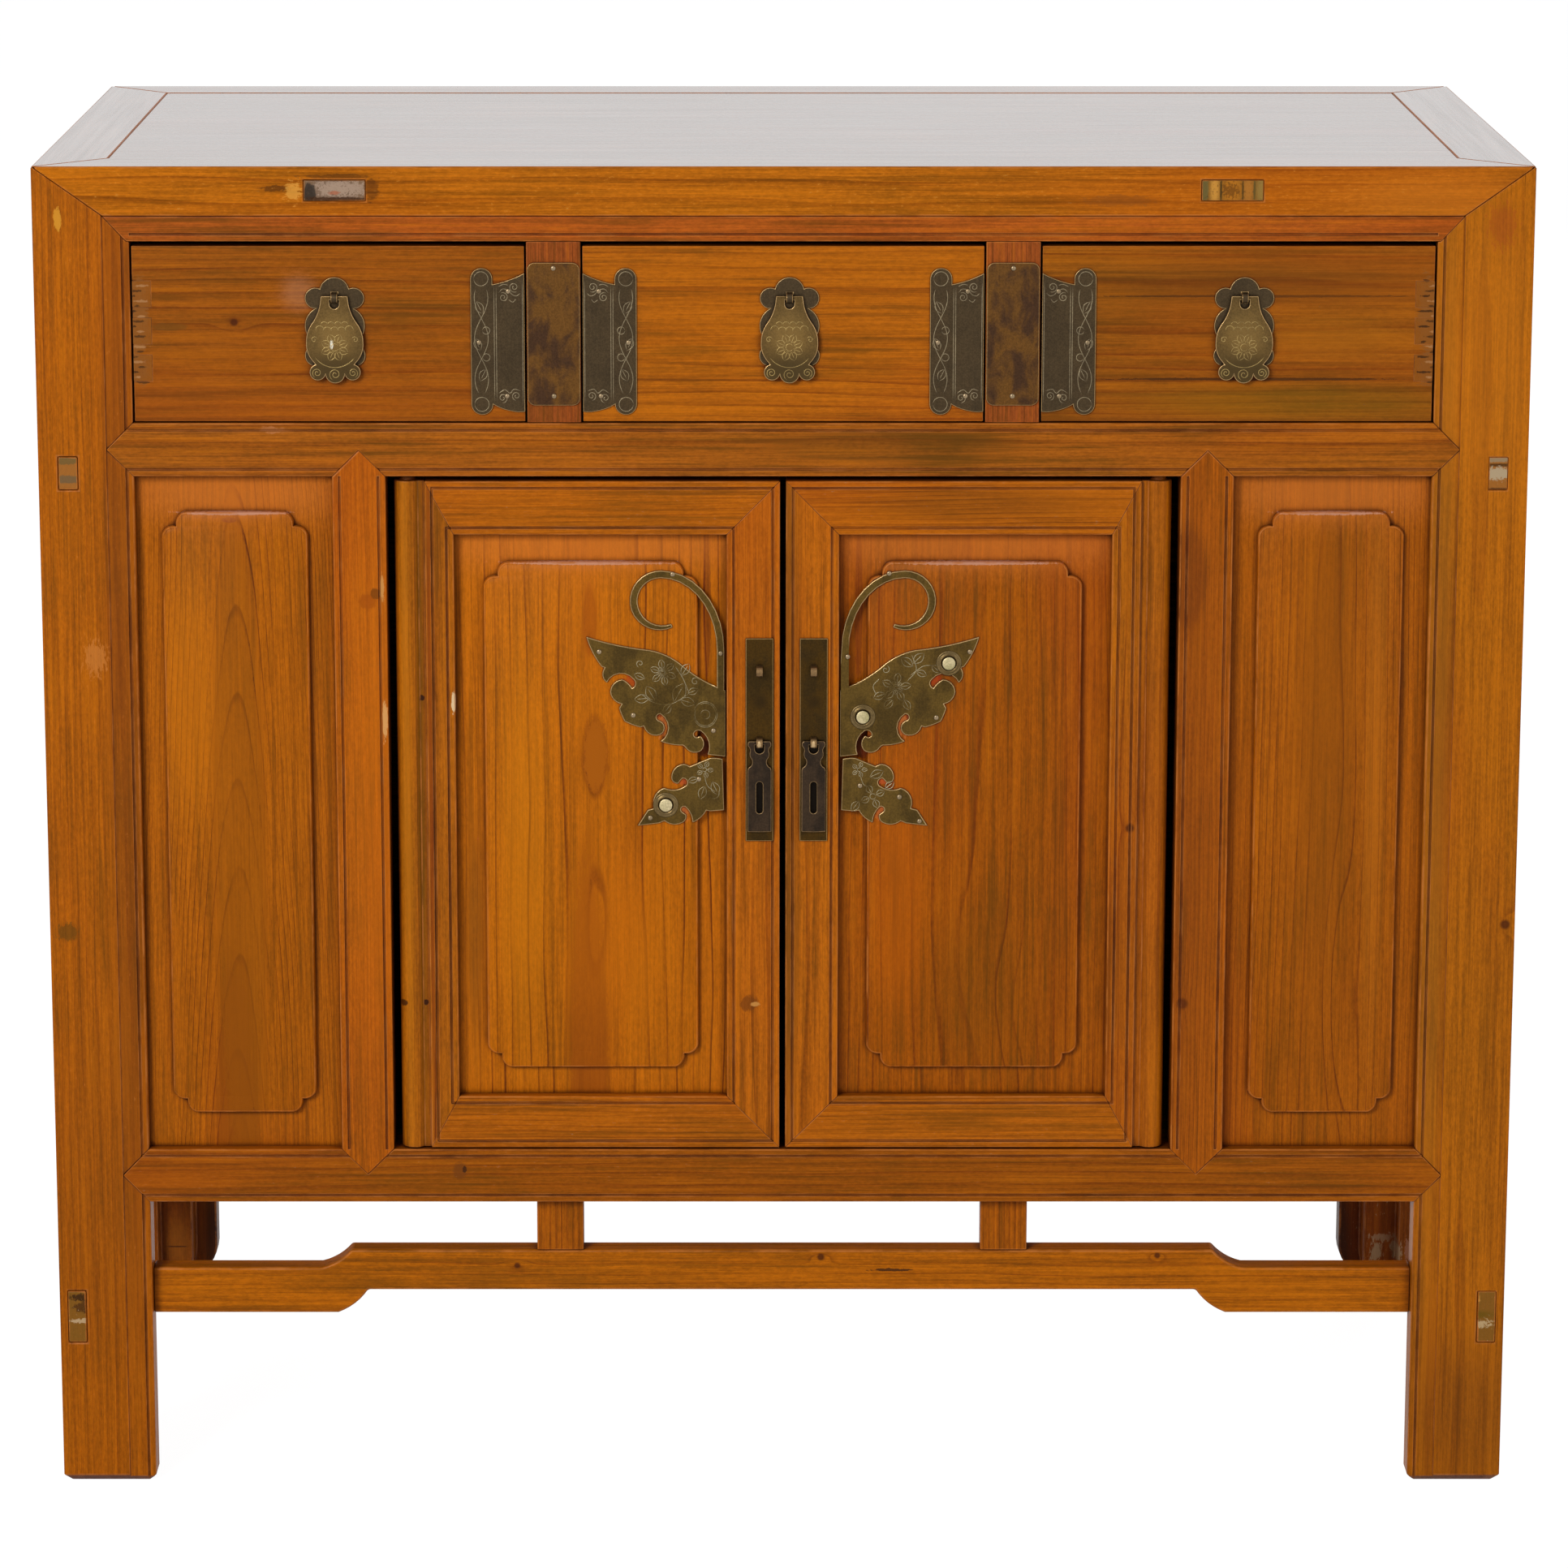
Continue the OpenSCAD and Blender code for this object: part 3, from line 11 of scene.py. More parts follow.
import bmesh
import bpy
import numpy as np
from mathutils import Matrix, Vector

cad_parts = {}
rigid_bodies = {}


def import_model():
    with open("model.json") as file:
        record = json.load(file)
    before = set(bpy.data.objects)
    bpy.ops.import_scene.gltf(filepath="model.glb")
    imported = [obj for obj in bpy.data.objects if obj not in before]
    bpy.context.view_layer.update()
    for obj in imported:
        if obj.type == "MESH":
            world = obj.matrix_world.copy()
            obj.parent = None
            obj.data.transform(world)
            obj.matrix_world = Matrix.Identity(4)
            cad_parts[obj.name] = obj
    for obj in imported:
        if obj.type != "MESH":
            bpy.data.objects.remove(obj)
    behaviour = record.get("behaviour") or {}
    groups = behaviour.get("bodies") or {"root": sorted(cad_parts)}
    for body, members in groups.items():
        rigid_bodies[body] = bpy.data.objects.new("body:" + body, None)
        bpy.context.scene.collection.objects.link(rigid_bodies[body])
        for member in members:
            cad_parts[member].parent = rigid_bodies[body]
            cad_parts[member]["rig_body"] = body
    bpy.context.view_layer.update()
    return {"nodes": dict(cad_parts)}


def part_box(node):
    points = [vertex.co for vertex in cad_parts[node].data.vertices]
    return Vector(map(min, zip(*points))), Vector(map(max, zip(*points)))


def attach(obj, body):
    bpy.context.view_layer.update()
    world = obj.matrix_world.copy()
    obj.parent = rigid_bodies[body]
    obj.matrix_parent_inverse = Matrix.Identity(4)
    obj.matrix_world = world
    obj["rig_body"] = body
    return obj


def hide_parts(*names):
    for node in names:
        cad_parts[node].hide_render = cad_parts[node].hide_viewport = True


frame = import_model()
MM = 0.001
SIDES = {"left": -1, "right": 1}
DRAWERS = ("left", "middle", "right")


def tint(r, g, b):
    """A colour as it is seen, 0 to 255 a channel, turned into the linear light that shaders use."""
    return tuple(((c / 255 + 0.055) / 1.055) ** 2.4 if c > 10 else c / 255 / 12.92
        for c in (r, g, b)) + (1.0,)


# Materials


class Finish:
    """The node network of a material or of the room. Most methods add nodes and return their result."""

    def __init__(self, owner):
        owner.use_nodes = True
        self.owner, self.tree = owner, owner.node_tree
        self.tree.nodes.clear()

    def add(self, kind, **settings):
        node = self.tree.nodes.new("ShaderNode" + kind)
        for key, value in settings.items():
            setattr(node, key, value)
        return node

    def feed(self, socket, value):
        if isinstance(value, bpy.types.NodeSocket):
            self.tree.links.new(value, socket)
        else:
            socket.default_value = value

    def fill(self, node, *values, **named):
        """Feeds a node's first sockets in their order and others by name, and returns its result."""
        for socket, value in zip(node.inputs, values):
            self.feed(socket, value)
        for name, value in named.items():
            self.feed(node.inputs[name.replace("_", " ")], value)
        return node.outputs[0]

    def calc(self, how, *values):
        return self.fill(self.add("Math", operation=how), *values)

    def times(self, a, b):
        return self.calc("MULTIPLY", a, b)

    def point(self, *xyz):
        return self.fill(self.add("CombineXYZ"), *xyz)

    def scaled(self, axes, *scales):
        """A point whose coordinates are the axes, each times its scale."""
        return self.point(*(a if k == 1 else self.times(a, k) for a, k in zip(axes, scales)))

    def step(self, value, low, high, to_low=0.0, to_high=1.0):
        """Rises smoothly from to_low to to_high while value goes from low to high."""
        node = self.add("MapRange", interpolation_type="SMOOTHSTEP")
        return self.fill(node, value, low, high, to_low, to_high)

    def noise(self, at, detail=2.0, rough=0.5, distortion=0.0):
        node = self.add("TexNoise")
        return self.fill(node, at, Scale=1.0, Detail=detail, Roughness=rough, Distortion=distortion)

    def mix(self, share, a, b, how="MIX"):
        """Colour a where the share is 0 and b, or a blended with b, where it is 1."""
        node = self.add("Mix", data_type="RGBA", blend_type=how)
        for index, value in ((0, share), (6, a), (7, b)):
            self.feed(node.inputs[index], value)
        return node.outputs[2]

    def place(self):
        """Object coordinates in millimetres, as three sockets."""
        where = self.add("TexCoord").outputs["Object"]
        larger = self.fill(self.add("VectorMath", operation="SCALE"), where, Scale=1 / MM)
        node = self.add("SeparateXYZ")
        self.fill(node, larger)
        return node.outputs

    def facing(self, axis):
        """How squarely the surface faces along an axis, from 0 to 1."""
        node = self.add("SeparateXYZ")
        self.fill(node, self.add("TexCoord").outputs["Normal"])
        return self.calc("ABSOLUTE", node.outputs[axis])

    def shade_and_grime(self, reach, low=0.35, high=0.85):
        """1 in corners and grooves narrower than reach, 0 in the open: the mask for painted shade, with
        dirt.
        """
        node = self.add("AmbientOcclusion", samples=6)
        self.fill(node, Distance=reach)
        return self.step(node.outputs["AO"], low, high, 1.0, 0.0)

    def bell(self, xyz, at_x, at_z, size_x, size_z):
        """1 at a place in the front view, falling off as a bell over its sizes."""
        u = self.calc("DIVIDE", self.calc("SUBTRACT", xyz[0], at_x), size_x)
        v = self.calc("DIVIDE", self.calc("SUBTRACT", xyz[2], at_z), size_z)
        squares = self.calc("ADD", self.times(u, u), self.times(v, v))
        return self.calc("EXPONENT", self.times(squares, -1.0))

    def spotted(self, colour, xyz, marks, grain, within=None):
        """Marks laid over a colour: (x, z, size x, size z, hue, share, raggedness of the rim)."""
        for at_x, at_z, size_x, size_z, hue, share, ragged in marks:
            noise = self.calc("SUBTRACT", grain, 0.5)
            spot = self.calc("MULTIPLY_ADD", noise, ragged, self.bell(xyz, at_x, at_z, size_x, size_z))
            soft = 0.45 if ragged < 1 else 0.1
            amount = self.step(spot, 0.5 - soft, 0.5 + soft, 0.0, share)
            if within is not None:
                amount = self.times(amount, within)
            colour = self.mix(amount, colour, tint(*hue))
        return colour

    def bump(self, height, depth):
        """The surface's normal, tilted by a relief whose height of 1 stands for the depth in m."""
        return self.fill(self.add("Bump"), Strength=0.6, Distance=depth, Height=height)

    def done(self, colour, rough, normal, **sockets):
        """Ends a material with its shader, and returns it."""
        look = self.fill(self.add("BsdfPrincipled"), colour, Roughness=rough, Normal=normal, **sockets)
        self.feed(self.add("OutputMaterial").inputs[0], look)
        return self.owner

    def seen(self):
        """Whether a ray comes from the camera, and whether from it or from a mirror or a glass."""
        ray = self.add("LightPath").outputs
        either = self.calc("MAXIMUM", ray["Is Camera Ray"], ray["Is Glossy Ray"])
        return ray["Is Camera Ray"], self.calc("MAXIMUM", either, ray["Is Transmission Ray"])


GRAIN_AXES = {"X": (2, 1, 0), "Y": (2, 0, 1), "Z": (0, 1, 2)}  # across, depth, along


def wood(name, along, light, late, heart=(0, 90), ring=4.0, taper=0.0, lines=0.7, glaze=0.5, figure=0.52,
         swells=(), knots=(), marks=(), seed=0.0, wear_and_highlight=0.0, gloss=0.0, ends=0.6, end_tone=(88, 60, 24),
         rough=0.42, dirt=0.9, reach=0.008, fade=0.35):
    """Lacquered softwood cut from a log that lies along an axis.

    Ring number = (distance from the heart + taper x height + swells) / ring width, where a swell is
    a bell-shaped rise that closes the rings into ovals. In each ring the early wood is light and
    darkens by the fade towards a crisp late line. Streaks of figure and of dark glaze follow the
    grain, and knots, marks, end grain, edges lightened by wear and painted highlight, and painted
    shade with dirt in the corners lie over them. Swells, knots and marks are placed by their x and z.
    A piece that lies front to back has its marks on its ends only.
    """
    f = Finish(bpy.data.materials.new(name))
    xyz = f.place()
    axes = a, d, l = [xyz[i] for i in GRAIN_AXES[along]]

    def stretched(fine, far, shift=0.0, **how):
        """Noise that changes fast across the grain and slowly along it."""
        return f.noise(f.point(f.times(a, fine), f.times(d, fine),
                               f.calc("MULTIPLY_ADD", l, far, seed + shift)), **how)

    drift = stretched(0.011, 0.0022)
    across = f.calc("MULTIPLY_ADD", drift, 16.0, f.calc("SUBTRACT", a, heart[0] + 8.0))
    deep = f.calc("SUBTRACT", d, heart[1])
    radius = f.calc("SQRT", f.calc("ADD", f.times(across, across), f.times(deep, deep)))
    radius = f.calc("MULTIPLY_ADD", l, taper, radius)
    for *place, rise in swells:
        radius = f.calc("MULTIPLY_ADD", f.bell(xyz, *place), rise, radius)
    core = None
    stretch = (3.2, 1.6) if along == "X" else (1.6, 3.2)
    for x, z, size in knots:
        swell = f.bell(xyz, x, z, size * stretch[0], size * stretch[1])
        radius = f.calc("MULTIPLY_ADD", swell, ring * 0.9, radius)
        b = f.bell(xyz, x, z, size, size)
        core = b if core is None else f.calc("MAXIMUM", core, b)
    ripple = stretched(0.05, 0.005, 3.1, detail=3.0, rough=0.35)
    phase = f.calc("FRACT", f.calc("MULTIPLY_ADD", ripple, 0.9, f.calc("DIVIDE", radius, ring)))
    early = f.step(phase, 0.2, 0.9, 0.0, fade)
    line = f.calc("ADD", early, f.step(phase, 0.9 - 0.5 * fade, 0.94, 0.0, 1.0 - fade))
    line = f.times(line, f.step(phase, 0.955, 1.0, 1.0, 0.0))
    line = f.times(line, f.step(stretched(0.05, 0.004, 7.7), 0.35, 0.62, lines * 0.35, lines))

    fibre = stretched(0.9, 0.014, detail=4.0, rough=0.75)
    streak = stretched(0.22, 0.005, 1.7, detail=5.0, rough=0.7)
    blotch = f.noise(f.point(f.calc("MULTIPLY_ADD", a, 0.02, seed), f.times(d, 0.02),
                             f.times(l, 0.008)), 4.0, 0.65)
    speckle = f.noise(f.scaled(axes, 0.55, 0.55, 0.2), 5.0, 0.8)

    colour = f.mix(line, light, late)
    shade = f.calc("ADD", f.step(fibre, 0.36, 0.64, 1.0 - 0.4 * figure, 1.0 + 0.3 * figure),
                   f.step(speckle, 0.36, 0.64, -0.3 * figure, 0.3 * figure))
    colour = f.mix(1.0, colour, f.point(shade, shade, shade), "MULTIPLY")
    colour = f.mix(f.step(streak, 0.5, 0.72, 0.0, 0.9 * figure), colour, tint(98, 46, 4))
    pooled = f.calc("MULTIPLY_ADD", streak, 0.7, f.times(blotch, 0.55))
    colour = f.mix(f.times(f.step(pooled, 0.6, 0.8), glaze), colour, tint(96, 60, 6))
    colour = f.mix(f.step(pooled, 0.62, 0.46, 0.0, 0.55 * figure), colour, tint(206, 116, 8))
    colour = f.mix(f.step(drift, 0.5, 0.72, 0.0, 0.5 * figure), colour, tint(172, 70, 10))
    if core is not None:
        colour = f.mix(f.step(core, 0.25, 0.8, 0.0, 0.85), colour, tint(70, 28, 6))
    end = f.step(f.facing("XYZ".index(along)), 0.75, 0.95)
    colour = f.mix(f.times(end, ends), colour, tint(*end_tone))
    colour = f.spotted(colour, xyz, marks, speckle, end if along == "Y" else None)
    # Edges lightened in patches: partly wear, partly painted highlight.
    if wear_and_highlight:
        rub_and_highlight = f.noise(f.scaled(axes, 0.08, 0.08, 0.04), 4.0, 0.65)
        colour = f.mix(f.step(rub_and_highlight, 0.4, 0.64, 0.0, wear_and_highlight), colour, tint(190, 112, 44))
    # Painted shade, with dirt, in corners and grooves, broken up by the blotches.
    dark = f.times(f.shade_and_grime(reach, 0.4, 0.92), f.step(blotch, 0.3, 0.62, dirt * 0.6, dirt))
    colour = f.mix(dark, colour, tint(62, 18, 6))
    height = f.calc("ADD", f.times(fibre, 0.5), f.times(line, 0.25))
    roughness = f.step(streak, 0.3, 0.8, rough - 0.06, rough + 0.12)
    shine = 0.9 if gloss else 0.16 if wear_and_highlight else 0.08
    return f.done(colour, roughness, f.bump(height, 0.0003), Specular_IOR_Level=shine,
                  Coat_Weight=gloss, Coat_Roughness=0.12, Coat_IOR=2.4)


def brass(name, body, stain, patch=0.5, rough=0.42, wear_and_highlight=0.0, marks=()):
    """Aged brass: cloudy patches of stain, fine up-and-down scratches, specks lightened by wear and painted
    highlight where asked, and painted shade with dirt in the corners.
    """
    f = Finish(bpy.data.materials.new(name))
    xyz = f.place()
    cloud = f.noise(f.scaled(xyz, 0.07, 0.07, 0.045), 4.0, 0.6, 0.4)
    scratch = f.noise(f.scaled(xyz, 2.6, 1, 0.05), 2.0, 0.6)
    speck = f.noise(f.scaled(xyz, 0.9, 1, 0.9), 5.0, 0.75)
    colour = f.mix(f.step(cloud, 0.4, 0.64, 0.0, patch), tint(*body), tint(*stain))
    shade = f.calc("ADD", f.step(scratch, 0.3, 0.7, 0.94, 1.06), f.step(speck, 0.35, 0.65, -0.2, 0.2))
    colour = f.mix(1.0, colour, f.point(shade, shade, shade), "MULTIPLY")
    colour = f.spotted(colour, xyz, marks, speck)
    # Specks lightened by wear and painted highlight.
    if wear_and_highlight:
        colour = f.mix(f.step(speck, 0.3, 0.6, wear_and_highlight * 0.4, wear_and_highlight), colour, tint(176, 142, 92))
    # Painted shade, with dirt, in corners and grooves.
    colour = f.mix(f.times(f.shade_and_grime(0.0025), 0.85), colour, tint(30, 20, 12))
    height = f.calc("ADD", f.times(speck, 0.6), f.times(scratch, 0.3))
    roughness = f.step(cloud, 0.35, 0.7, rough, rough + 0.14)
    return f.done(colour, roughness, f.bump(height, 0.00012), Metallic=0.9)


# Softened copies of the solids


def shoulders(bm):
    """Each edge's distance to the nearest corner that lies across its faces, on the inside of their
    outline and square to the edge. A corner limits the two edges that meet in it as well."""
    bm.edges.index_update()
    room = np.full(len(bm.edges), np.inf)
    for face in bm.faces:
        here = np.array([v.co for v in face.verts])
        edges = np.array([loop.edge.index for loop in face.loops])
        way = np.roll(here, -1, axis=0) - here
        inwards = np.cross(np.array(face.normal), way)
        inwards /= np.maximum(np.linalg.norm(inwards, axis=1, keepdims=True), 1e-12)
        to = here[None] - here[:, None]
        along = np.einsum("ijk,ik->ij", to, way) / np.maximum(np.sum(way * way, axis=1), 1e-15)[:, None]
        across = np.einsum("ijk,ik->ij", to, inwards)
        across = np.where((along > 0.01) & (along < 0.99) & (across > 1e-7), across, np.inf)
        corner = across.min(axis=0)
        np.minimum.at(room, edges, np.minimum(across.min(axis=1), np.minimum(corner, np.roll(corner, -1))))
    return room


MERGED = 2e-6  # m, within which points are one
SOLE = 0.01 * MM  # how far a rounded foot ends over the floor
ROOM_SHARE = 0.42  # of the room beside an edge, at most, is rounded
CRISP, ALONG, ACROSS = math.radians(32), math.radians(40), math.radians(140)


def turn_under(bm, radius):
    """A post's foot rounded all round: at a height h below the radius, its outline is drawn in towards
    the post's middle by the radius less the root of its square less the square of (radius - h)."""
    whole = bm.verts[:] + bm.edges[:] + bm.faces[:]
    cut = bmesh.ops.bisect_plane(bm, geom=whole, plane_co=(0, 0, radius), plane_no=(0, 0, 1),
        clear_inner=True)
    rim = [e for e in cut["geom_cut"] if isinstance(e, bmesh.types.BMEdge)]
    outline = np.array([v.co[:2] for e in rim for v in e.verts])
    middle, half = (outline.max(0) + outline.min(0)) / 2, (outline.max(0) - outline.min(0)) / 2
    size = np.ones(2)
    for turn in np.radians(np.linspace(0, 90, 7))[1:]:
        drawn = 1 - radius * (1 - math.cos(turn)) / half
        height, below = radius * (1 - math.sin(turn)) + SOLE, {}
        for v in (v for e in rim for v in e.verts):
            if v not in below:
                x, y = middle + (np.array(v.co[:2]) - middle) * drawn / size
                below[v] = bm.verts.new((x, y, height))
        for i, (p, q) in enumerate([e.verts for e in rim]):
            bm.faces.new((p, q, below[q], below[p]))
            rim[i] = bm.edges.get((below[p], below[q]))
        size = drawn
    bmesh.ops.edgeloop_fill(bm, edges=rim)
    bmesh.ops.recalc_face_normals(bm, faces=bm.faces)


def dress(node, soft, *skins, upward=None, plate=False, even=False, foot=0.0):
    """A merged copy of a solid whose edges are softened, which stands for it.

    Where two of its bars touch, the walls between them are taken out, so that they join as one.

    Faces take the first skin and rounded edges the second. A thin plate has a wide rim in front and a
    narrow one behind, and an even piece is rounded by soft mm everywhere. On wood an edge is rounded
    by soft mm, but by no more than a share of the room beside it, so that fine grooves stay open and
    narrow shoulders stay whole. A foot is rounded by its own radius.
    """
    cad = frame["nodes"][node]
    body = cad["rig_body"]
    mesh = bpy.data.meshes.new(node + "_dressed")
    bm = bmesh.new()
    bm.from_mesh(cad.data)
    bmesh.ops.remove_doubles(bm, verts=bm.verts, dist=MERGED)
    inner = set()
    for edge in bm.edges:
        if len(edge.link_faces) == 3:
            normals = [face.normal for face in edge.link_faces]
            inner |= {edge.link_faces[i] for i in range(3) if normals[i - 1].dot(normals[i - 2]) > 0.99999}
    bmesh.ops.delete(bm, geom=list(inner), context="FACES_ONLY")
    bmesh.ops.remove_doubles(bm, verts=bm.verts, dist=0.25 * soft * MM)
    if foot:
        turn_under(bm, foot * MM)
    nearly_flat = math.radians(0.3)
    bmesh.ops.dissolve_limit(bm, angle_limit=nearly_flat, verts=bm.verts, edges=bm.edges,
        delimit={"NORMAL"})
    weight = bm.edges.layers.float.new("bevel_weight_edge")
    shoulder = shoulders(bm)
    rim_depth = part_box(node)[0][1] + 0.5 * MM
    crisp = {e for e in bm.edges if len(e.link_faces) == 2 and e.calc_face_angle(0.0) > CRISP}
    for edge in crisp:
        room = [soft * MM / ROOM_SHARE, shoulder[edge.index]]
        for v in edge.verts if not plate else ():
            way = (edge.other_vert(v).co - v.co).normalized()
            for e in v.link_edges:
                turn = math.pi if e is edge else way.angle((e.other_vert(v).co - v.co).normalized(), 0.0)
                if ALONG < turn < ACROSS:
                    room.append(e.calc_length())
                elif turn <= ALONG and e in crisp:
                    room.append(min(e.calc_length(), edge.calc_length()) * math.tan(turn / 2))
        edge[weight] = max(0.2, ROOM_SHARE * min(room) / (soft * MM))
        if even:
            edge[weight] = 1.0
        elif plate:
            edge[weight] = 0.25 if min(v.co.y for v in edge.verts) > rim_depth else 1.0
    bm.to_mesh(mesh)
    bm.free()
    mesh.polygons.foreach_set("use_smooth", np.ones(len(mesh.polygons), bool))
    for skin in skins:
        mesh.materials.append(skin)
    if upward is not None:
        mesh.materials.append(upward)
        normals = np.empty(len(mesh.polygons) * 3, np.float32)
        mesh.polygons.foreach_get("normal", normals)
        index = np.where(normals.reshape(-1, 3)[:, 2] > 0.9, len(skins), 0).astype(np.int32)
        mesh.polygons.foreach_set("material_index", index)
    piece = bpy.data.objects.new(node + "_dressed", mesh)
    bpy.context.scene.collection.objects.link(piece)
    round_off = piece.modifiers.new("soft_edges", "BEVEL")
    round_off.limit_method = "WEIGHT"
    round_off.width = soft * MM
    round_off.segments = 3 if soft > 0.6 else 2
    round_off.use_clamp_overlap = False
    round_off.material = 1 if len(skins) > 1 else -1
    flat = piece.modifiers.new("flat_faces", "WEIGHTED_NORMAL")
    flat.keep_sharp = False
    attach(piece, body)
    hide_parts(node)


def link(name, mesh, body, *skins):
    """Puts a mesh in the scene as a smooth piece with its skins, riding on its body."""
    for skin in skins:
        mesh.materials.append(skin)
    mesh.polygons.foreach_set("use_smooth", np.ones(len(mesh.polygons), bool))
    piece = bpy.data.objects.new(name, mesh)
    bpy.context.scene.collection.objects.link(piece)
    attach(piece, body)
    return piece


class Shell:
    """Points and faces gathered from grids. Points are (x, depth, z) in mm, depth counted backwards."""

    def __init__(self):
        self.points, self.faces, self.count = [], [], 0

    def grid(self, rows, closed=False, cap=False):
        """Joins rows of points, each an (n, 3) array, with quads; cap closes the last row."""
        rows = np.asarray(rows, float)
        k, n = rows.shape[:2]
        index = np.arange(k * n).reshape(k, n) + self.count
        ahead = np.roll(index, -1, axis=1) if closed else index[:, 1:]
        here = index if closed else index[:, :-1]
        self.faces += np.stack([here[:-1], ahead[:-1], ahead[1:], here[1:]], -1).reshape(-1, 4).tolist()
        if cap:
            self.faces.append(index[-1].tolist())
        self.points.append(rows.reshape(-1, 3))
        self.count += k * n

    def mesh(self, name):
        """All that was gathered, as a mesh in metres."""
        mesh = bpy.data.meshes.new(name)
        mesh.from_pydata((np.concatenate(self.points) * MM).tolist(), [], self.faces)
        return mesh


def arc_outline(corners):
    """Closed outline from (x, z, bulge) corners: each side is an arc whose bulge is the tangent of a
    quarter of its angle, and a bulge of zero is a straight side."""
    corners = np.array(corners, float)
    out, steps = [], 10
    for p, q in zip(corners, np.roll(corners, -1, axis=0)):
        if p[2] == 0:
            out.append(p[None, :2])
            continue
        chord = q[:2] - p[:2]
        middle = (p[:2] + q[:2]) / 2 + (1 - p[2] ** 2) / (4 * p[2]) * np.array([-chord[1], chord[0]])
        angle = 4 * math.atan(p[2]) * np.arange(steps) / steps
        r = p[:2] - middle
        out.append(middle + np.stack([r[0] * np.cos(angle) - r[1] * np.sin(angle),
                                      r[0] * np.sin(angle) + r[1] * np.cos(angle)], -1))
    return np.concatenate(out)


def drawn_in(loop, distance):
    """The closed loop moved inwards: each point moves along the mean of its sides' normals, divided
    by the cosine of half their angle so that the sides stay parallel."""
    side = np.roll(loop, -1, axis=0) - loop
    side /= np.linalg.norm(side, axis=1, keepdims=True)
    normal = np.stack([-side[:, 1], side[:, 0]], -1)
    mean = normal + np.roll(normal, 1, axis=0)
    mean /= np.maximum(np.sum(mean * normal, axis=1, keepdims=True), 1.3)
    return loop + mean * distance


FIELD_EDGE = np.array([(0, -0.3), (0.08, 2.4), (0.25, 3.7), (0.55, 4.5), (0.95, 4.92), (1.35, 5.0),
        (1.55, 4.86), (1.75, 4.8), (1.95, 4.86), (2.2, 5.0)])
FIELD_REACH, FIELD_NOTCH, FIELD_BULGE = 15.5, 9.3, 0.4


def tongue(x, tip, half, reach, rim, inside, share=0.5):
    """Marks of a long pointed growth ring: an oval whose tip is at (x, tip), and whose middle, half
    as wide as given, lies the reach below it. The rim's hue shows as a thin line round the inside."""
    at_half = 0.8326  # of its size, where the bell is at a half
    across, along = half / at_half, reach / at_half
    return ((x, tip - reach, across + 0.8, along + 2.5, rim, share, 1.0),
            (x, tip - reach, across, along, inside, share, 1.0))


def grain_seed(node):
    """A place in the noise for each piece, by its name."""
    return (sum(ord(c) * (i + 1) for i, c in enumerate(node)) % 97) * 1.37


def field_panel(node, x, z, ground, tone, **look):
    """A panel whose raised field has a rounded edge with a fine line inside it.

    The field is the moulding's profile carried round the notched outline, from the ground up to its
    flat face, and the panel behind it is a plain board. The upper rows of the field's edge take a
    lighter skin as a painted highlight, and painted light lies on the top margin and the field's upper
    edge.
    """
    r, n, b = FIELD_REACH, FIELD_NOTCH, FIELD_BULGE
    loop = arc_outline([(x[0] + r, z[0], 0), (x[1] - r, z[0], b), (x[1] - n, z[0] + n, b),
                        (x[1], z[0] + r, 0), (x[1], z[1] - r, b), (x[1] - n, z[1] - n, b),
                        (x[1] - r, z[1], 0), (x[0] + r, z[1], b), (x[0] + n, z[1] - n, b),
                        (x[0], z[1] - r, 0), (x[0], z[0] + r, b), (x[0] + n, z[0] + n, b)])
    shell = Shell()
    rows = [np.insert(drawn_in(loop, d), 1, ground - h, axis=1) for d, h in FIELD_EDGE]
    shell.grid(rows, closed=True, cap=True)
    low, high = (np.array(v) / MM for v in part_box(node))
    low[1] = ground
    corner = np.array([low, high])
    ring = [[corner[i, 0], corner[j, 2]] for i, j in ((0, 0), (1, 0), (1, 1), (0, 1))]
    board_rows = [[(p, y, q) for p, q in ring] for y in (high[1], low[1])]
    shell.grid(board_rows, closed=True, cap=True)
    shell.faces.append([shell.count - 8 + i for i in (3, 2, 1, 0)])
    middle, width = sum(x) / 2, x[1] - x[0]
    # Painted light: a lighter band over the top margin where the rail's shadow falls, and a pale pink
    # highlight along the field's upper edge.
    painted_light_marks = ((middle, z[1] + 14, 0.9 * width, 24, (208, 116, 44), 0.5, 0.6),
             (middle, z[1] - 1.0, 0.42 * width, 1.3, (204, 150, 124), 0.75, 1.6))
    look = dict(look, seed=grain_seed(node), reach=0.004, fade=0.16, marks=look["marks"] + painted_light_marks)
    skins = [wood(node + name, "Z", tint(*tone), tint(*HONEY_LATE), wear_and_highlight=wear_and_highlight, **look)
             for name, wear_and_highlight in (("_face", 0.0), ("_edge", 0.8))]
    piece = link(node + "_dressed", shell.mesh(node + "_dressed"), frame["nodes"][node]["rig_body"], *skins)
    # The upper rows of the field's rounded edge take the lighter skin: a painted highlight.
    bead_highlight = np.zeros(len(shell.faces), np.int32)
    bead_highlight[2 * len(loop):5 * len(loop)] = 1
    piece.data.polygons.foreach_set("material_index", bead_highlight)
    piece.data.shade_smooth()
    piece.data.set_sharp_from_angle(angle=math.radians(50))
    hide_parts(node)


HONEY, HONEY_LATE = (180, 96, 5), (104, 42, 3)


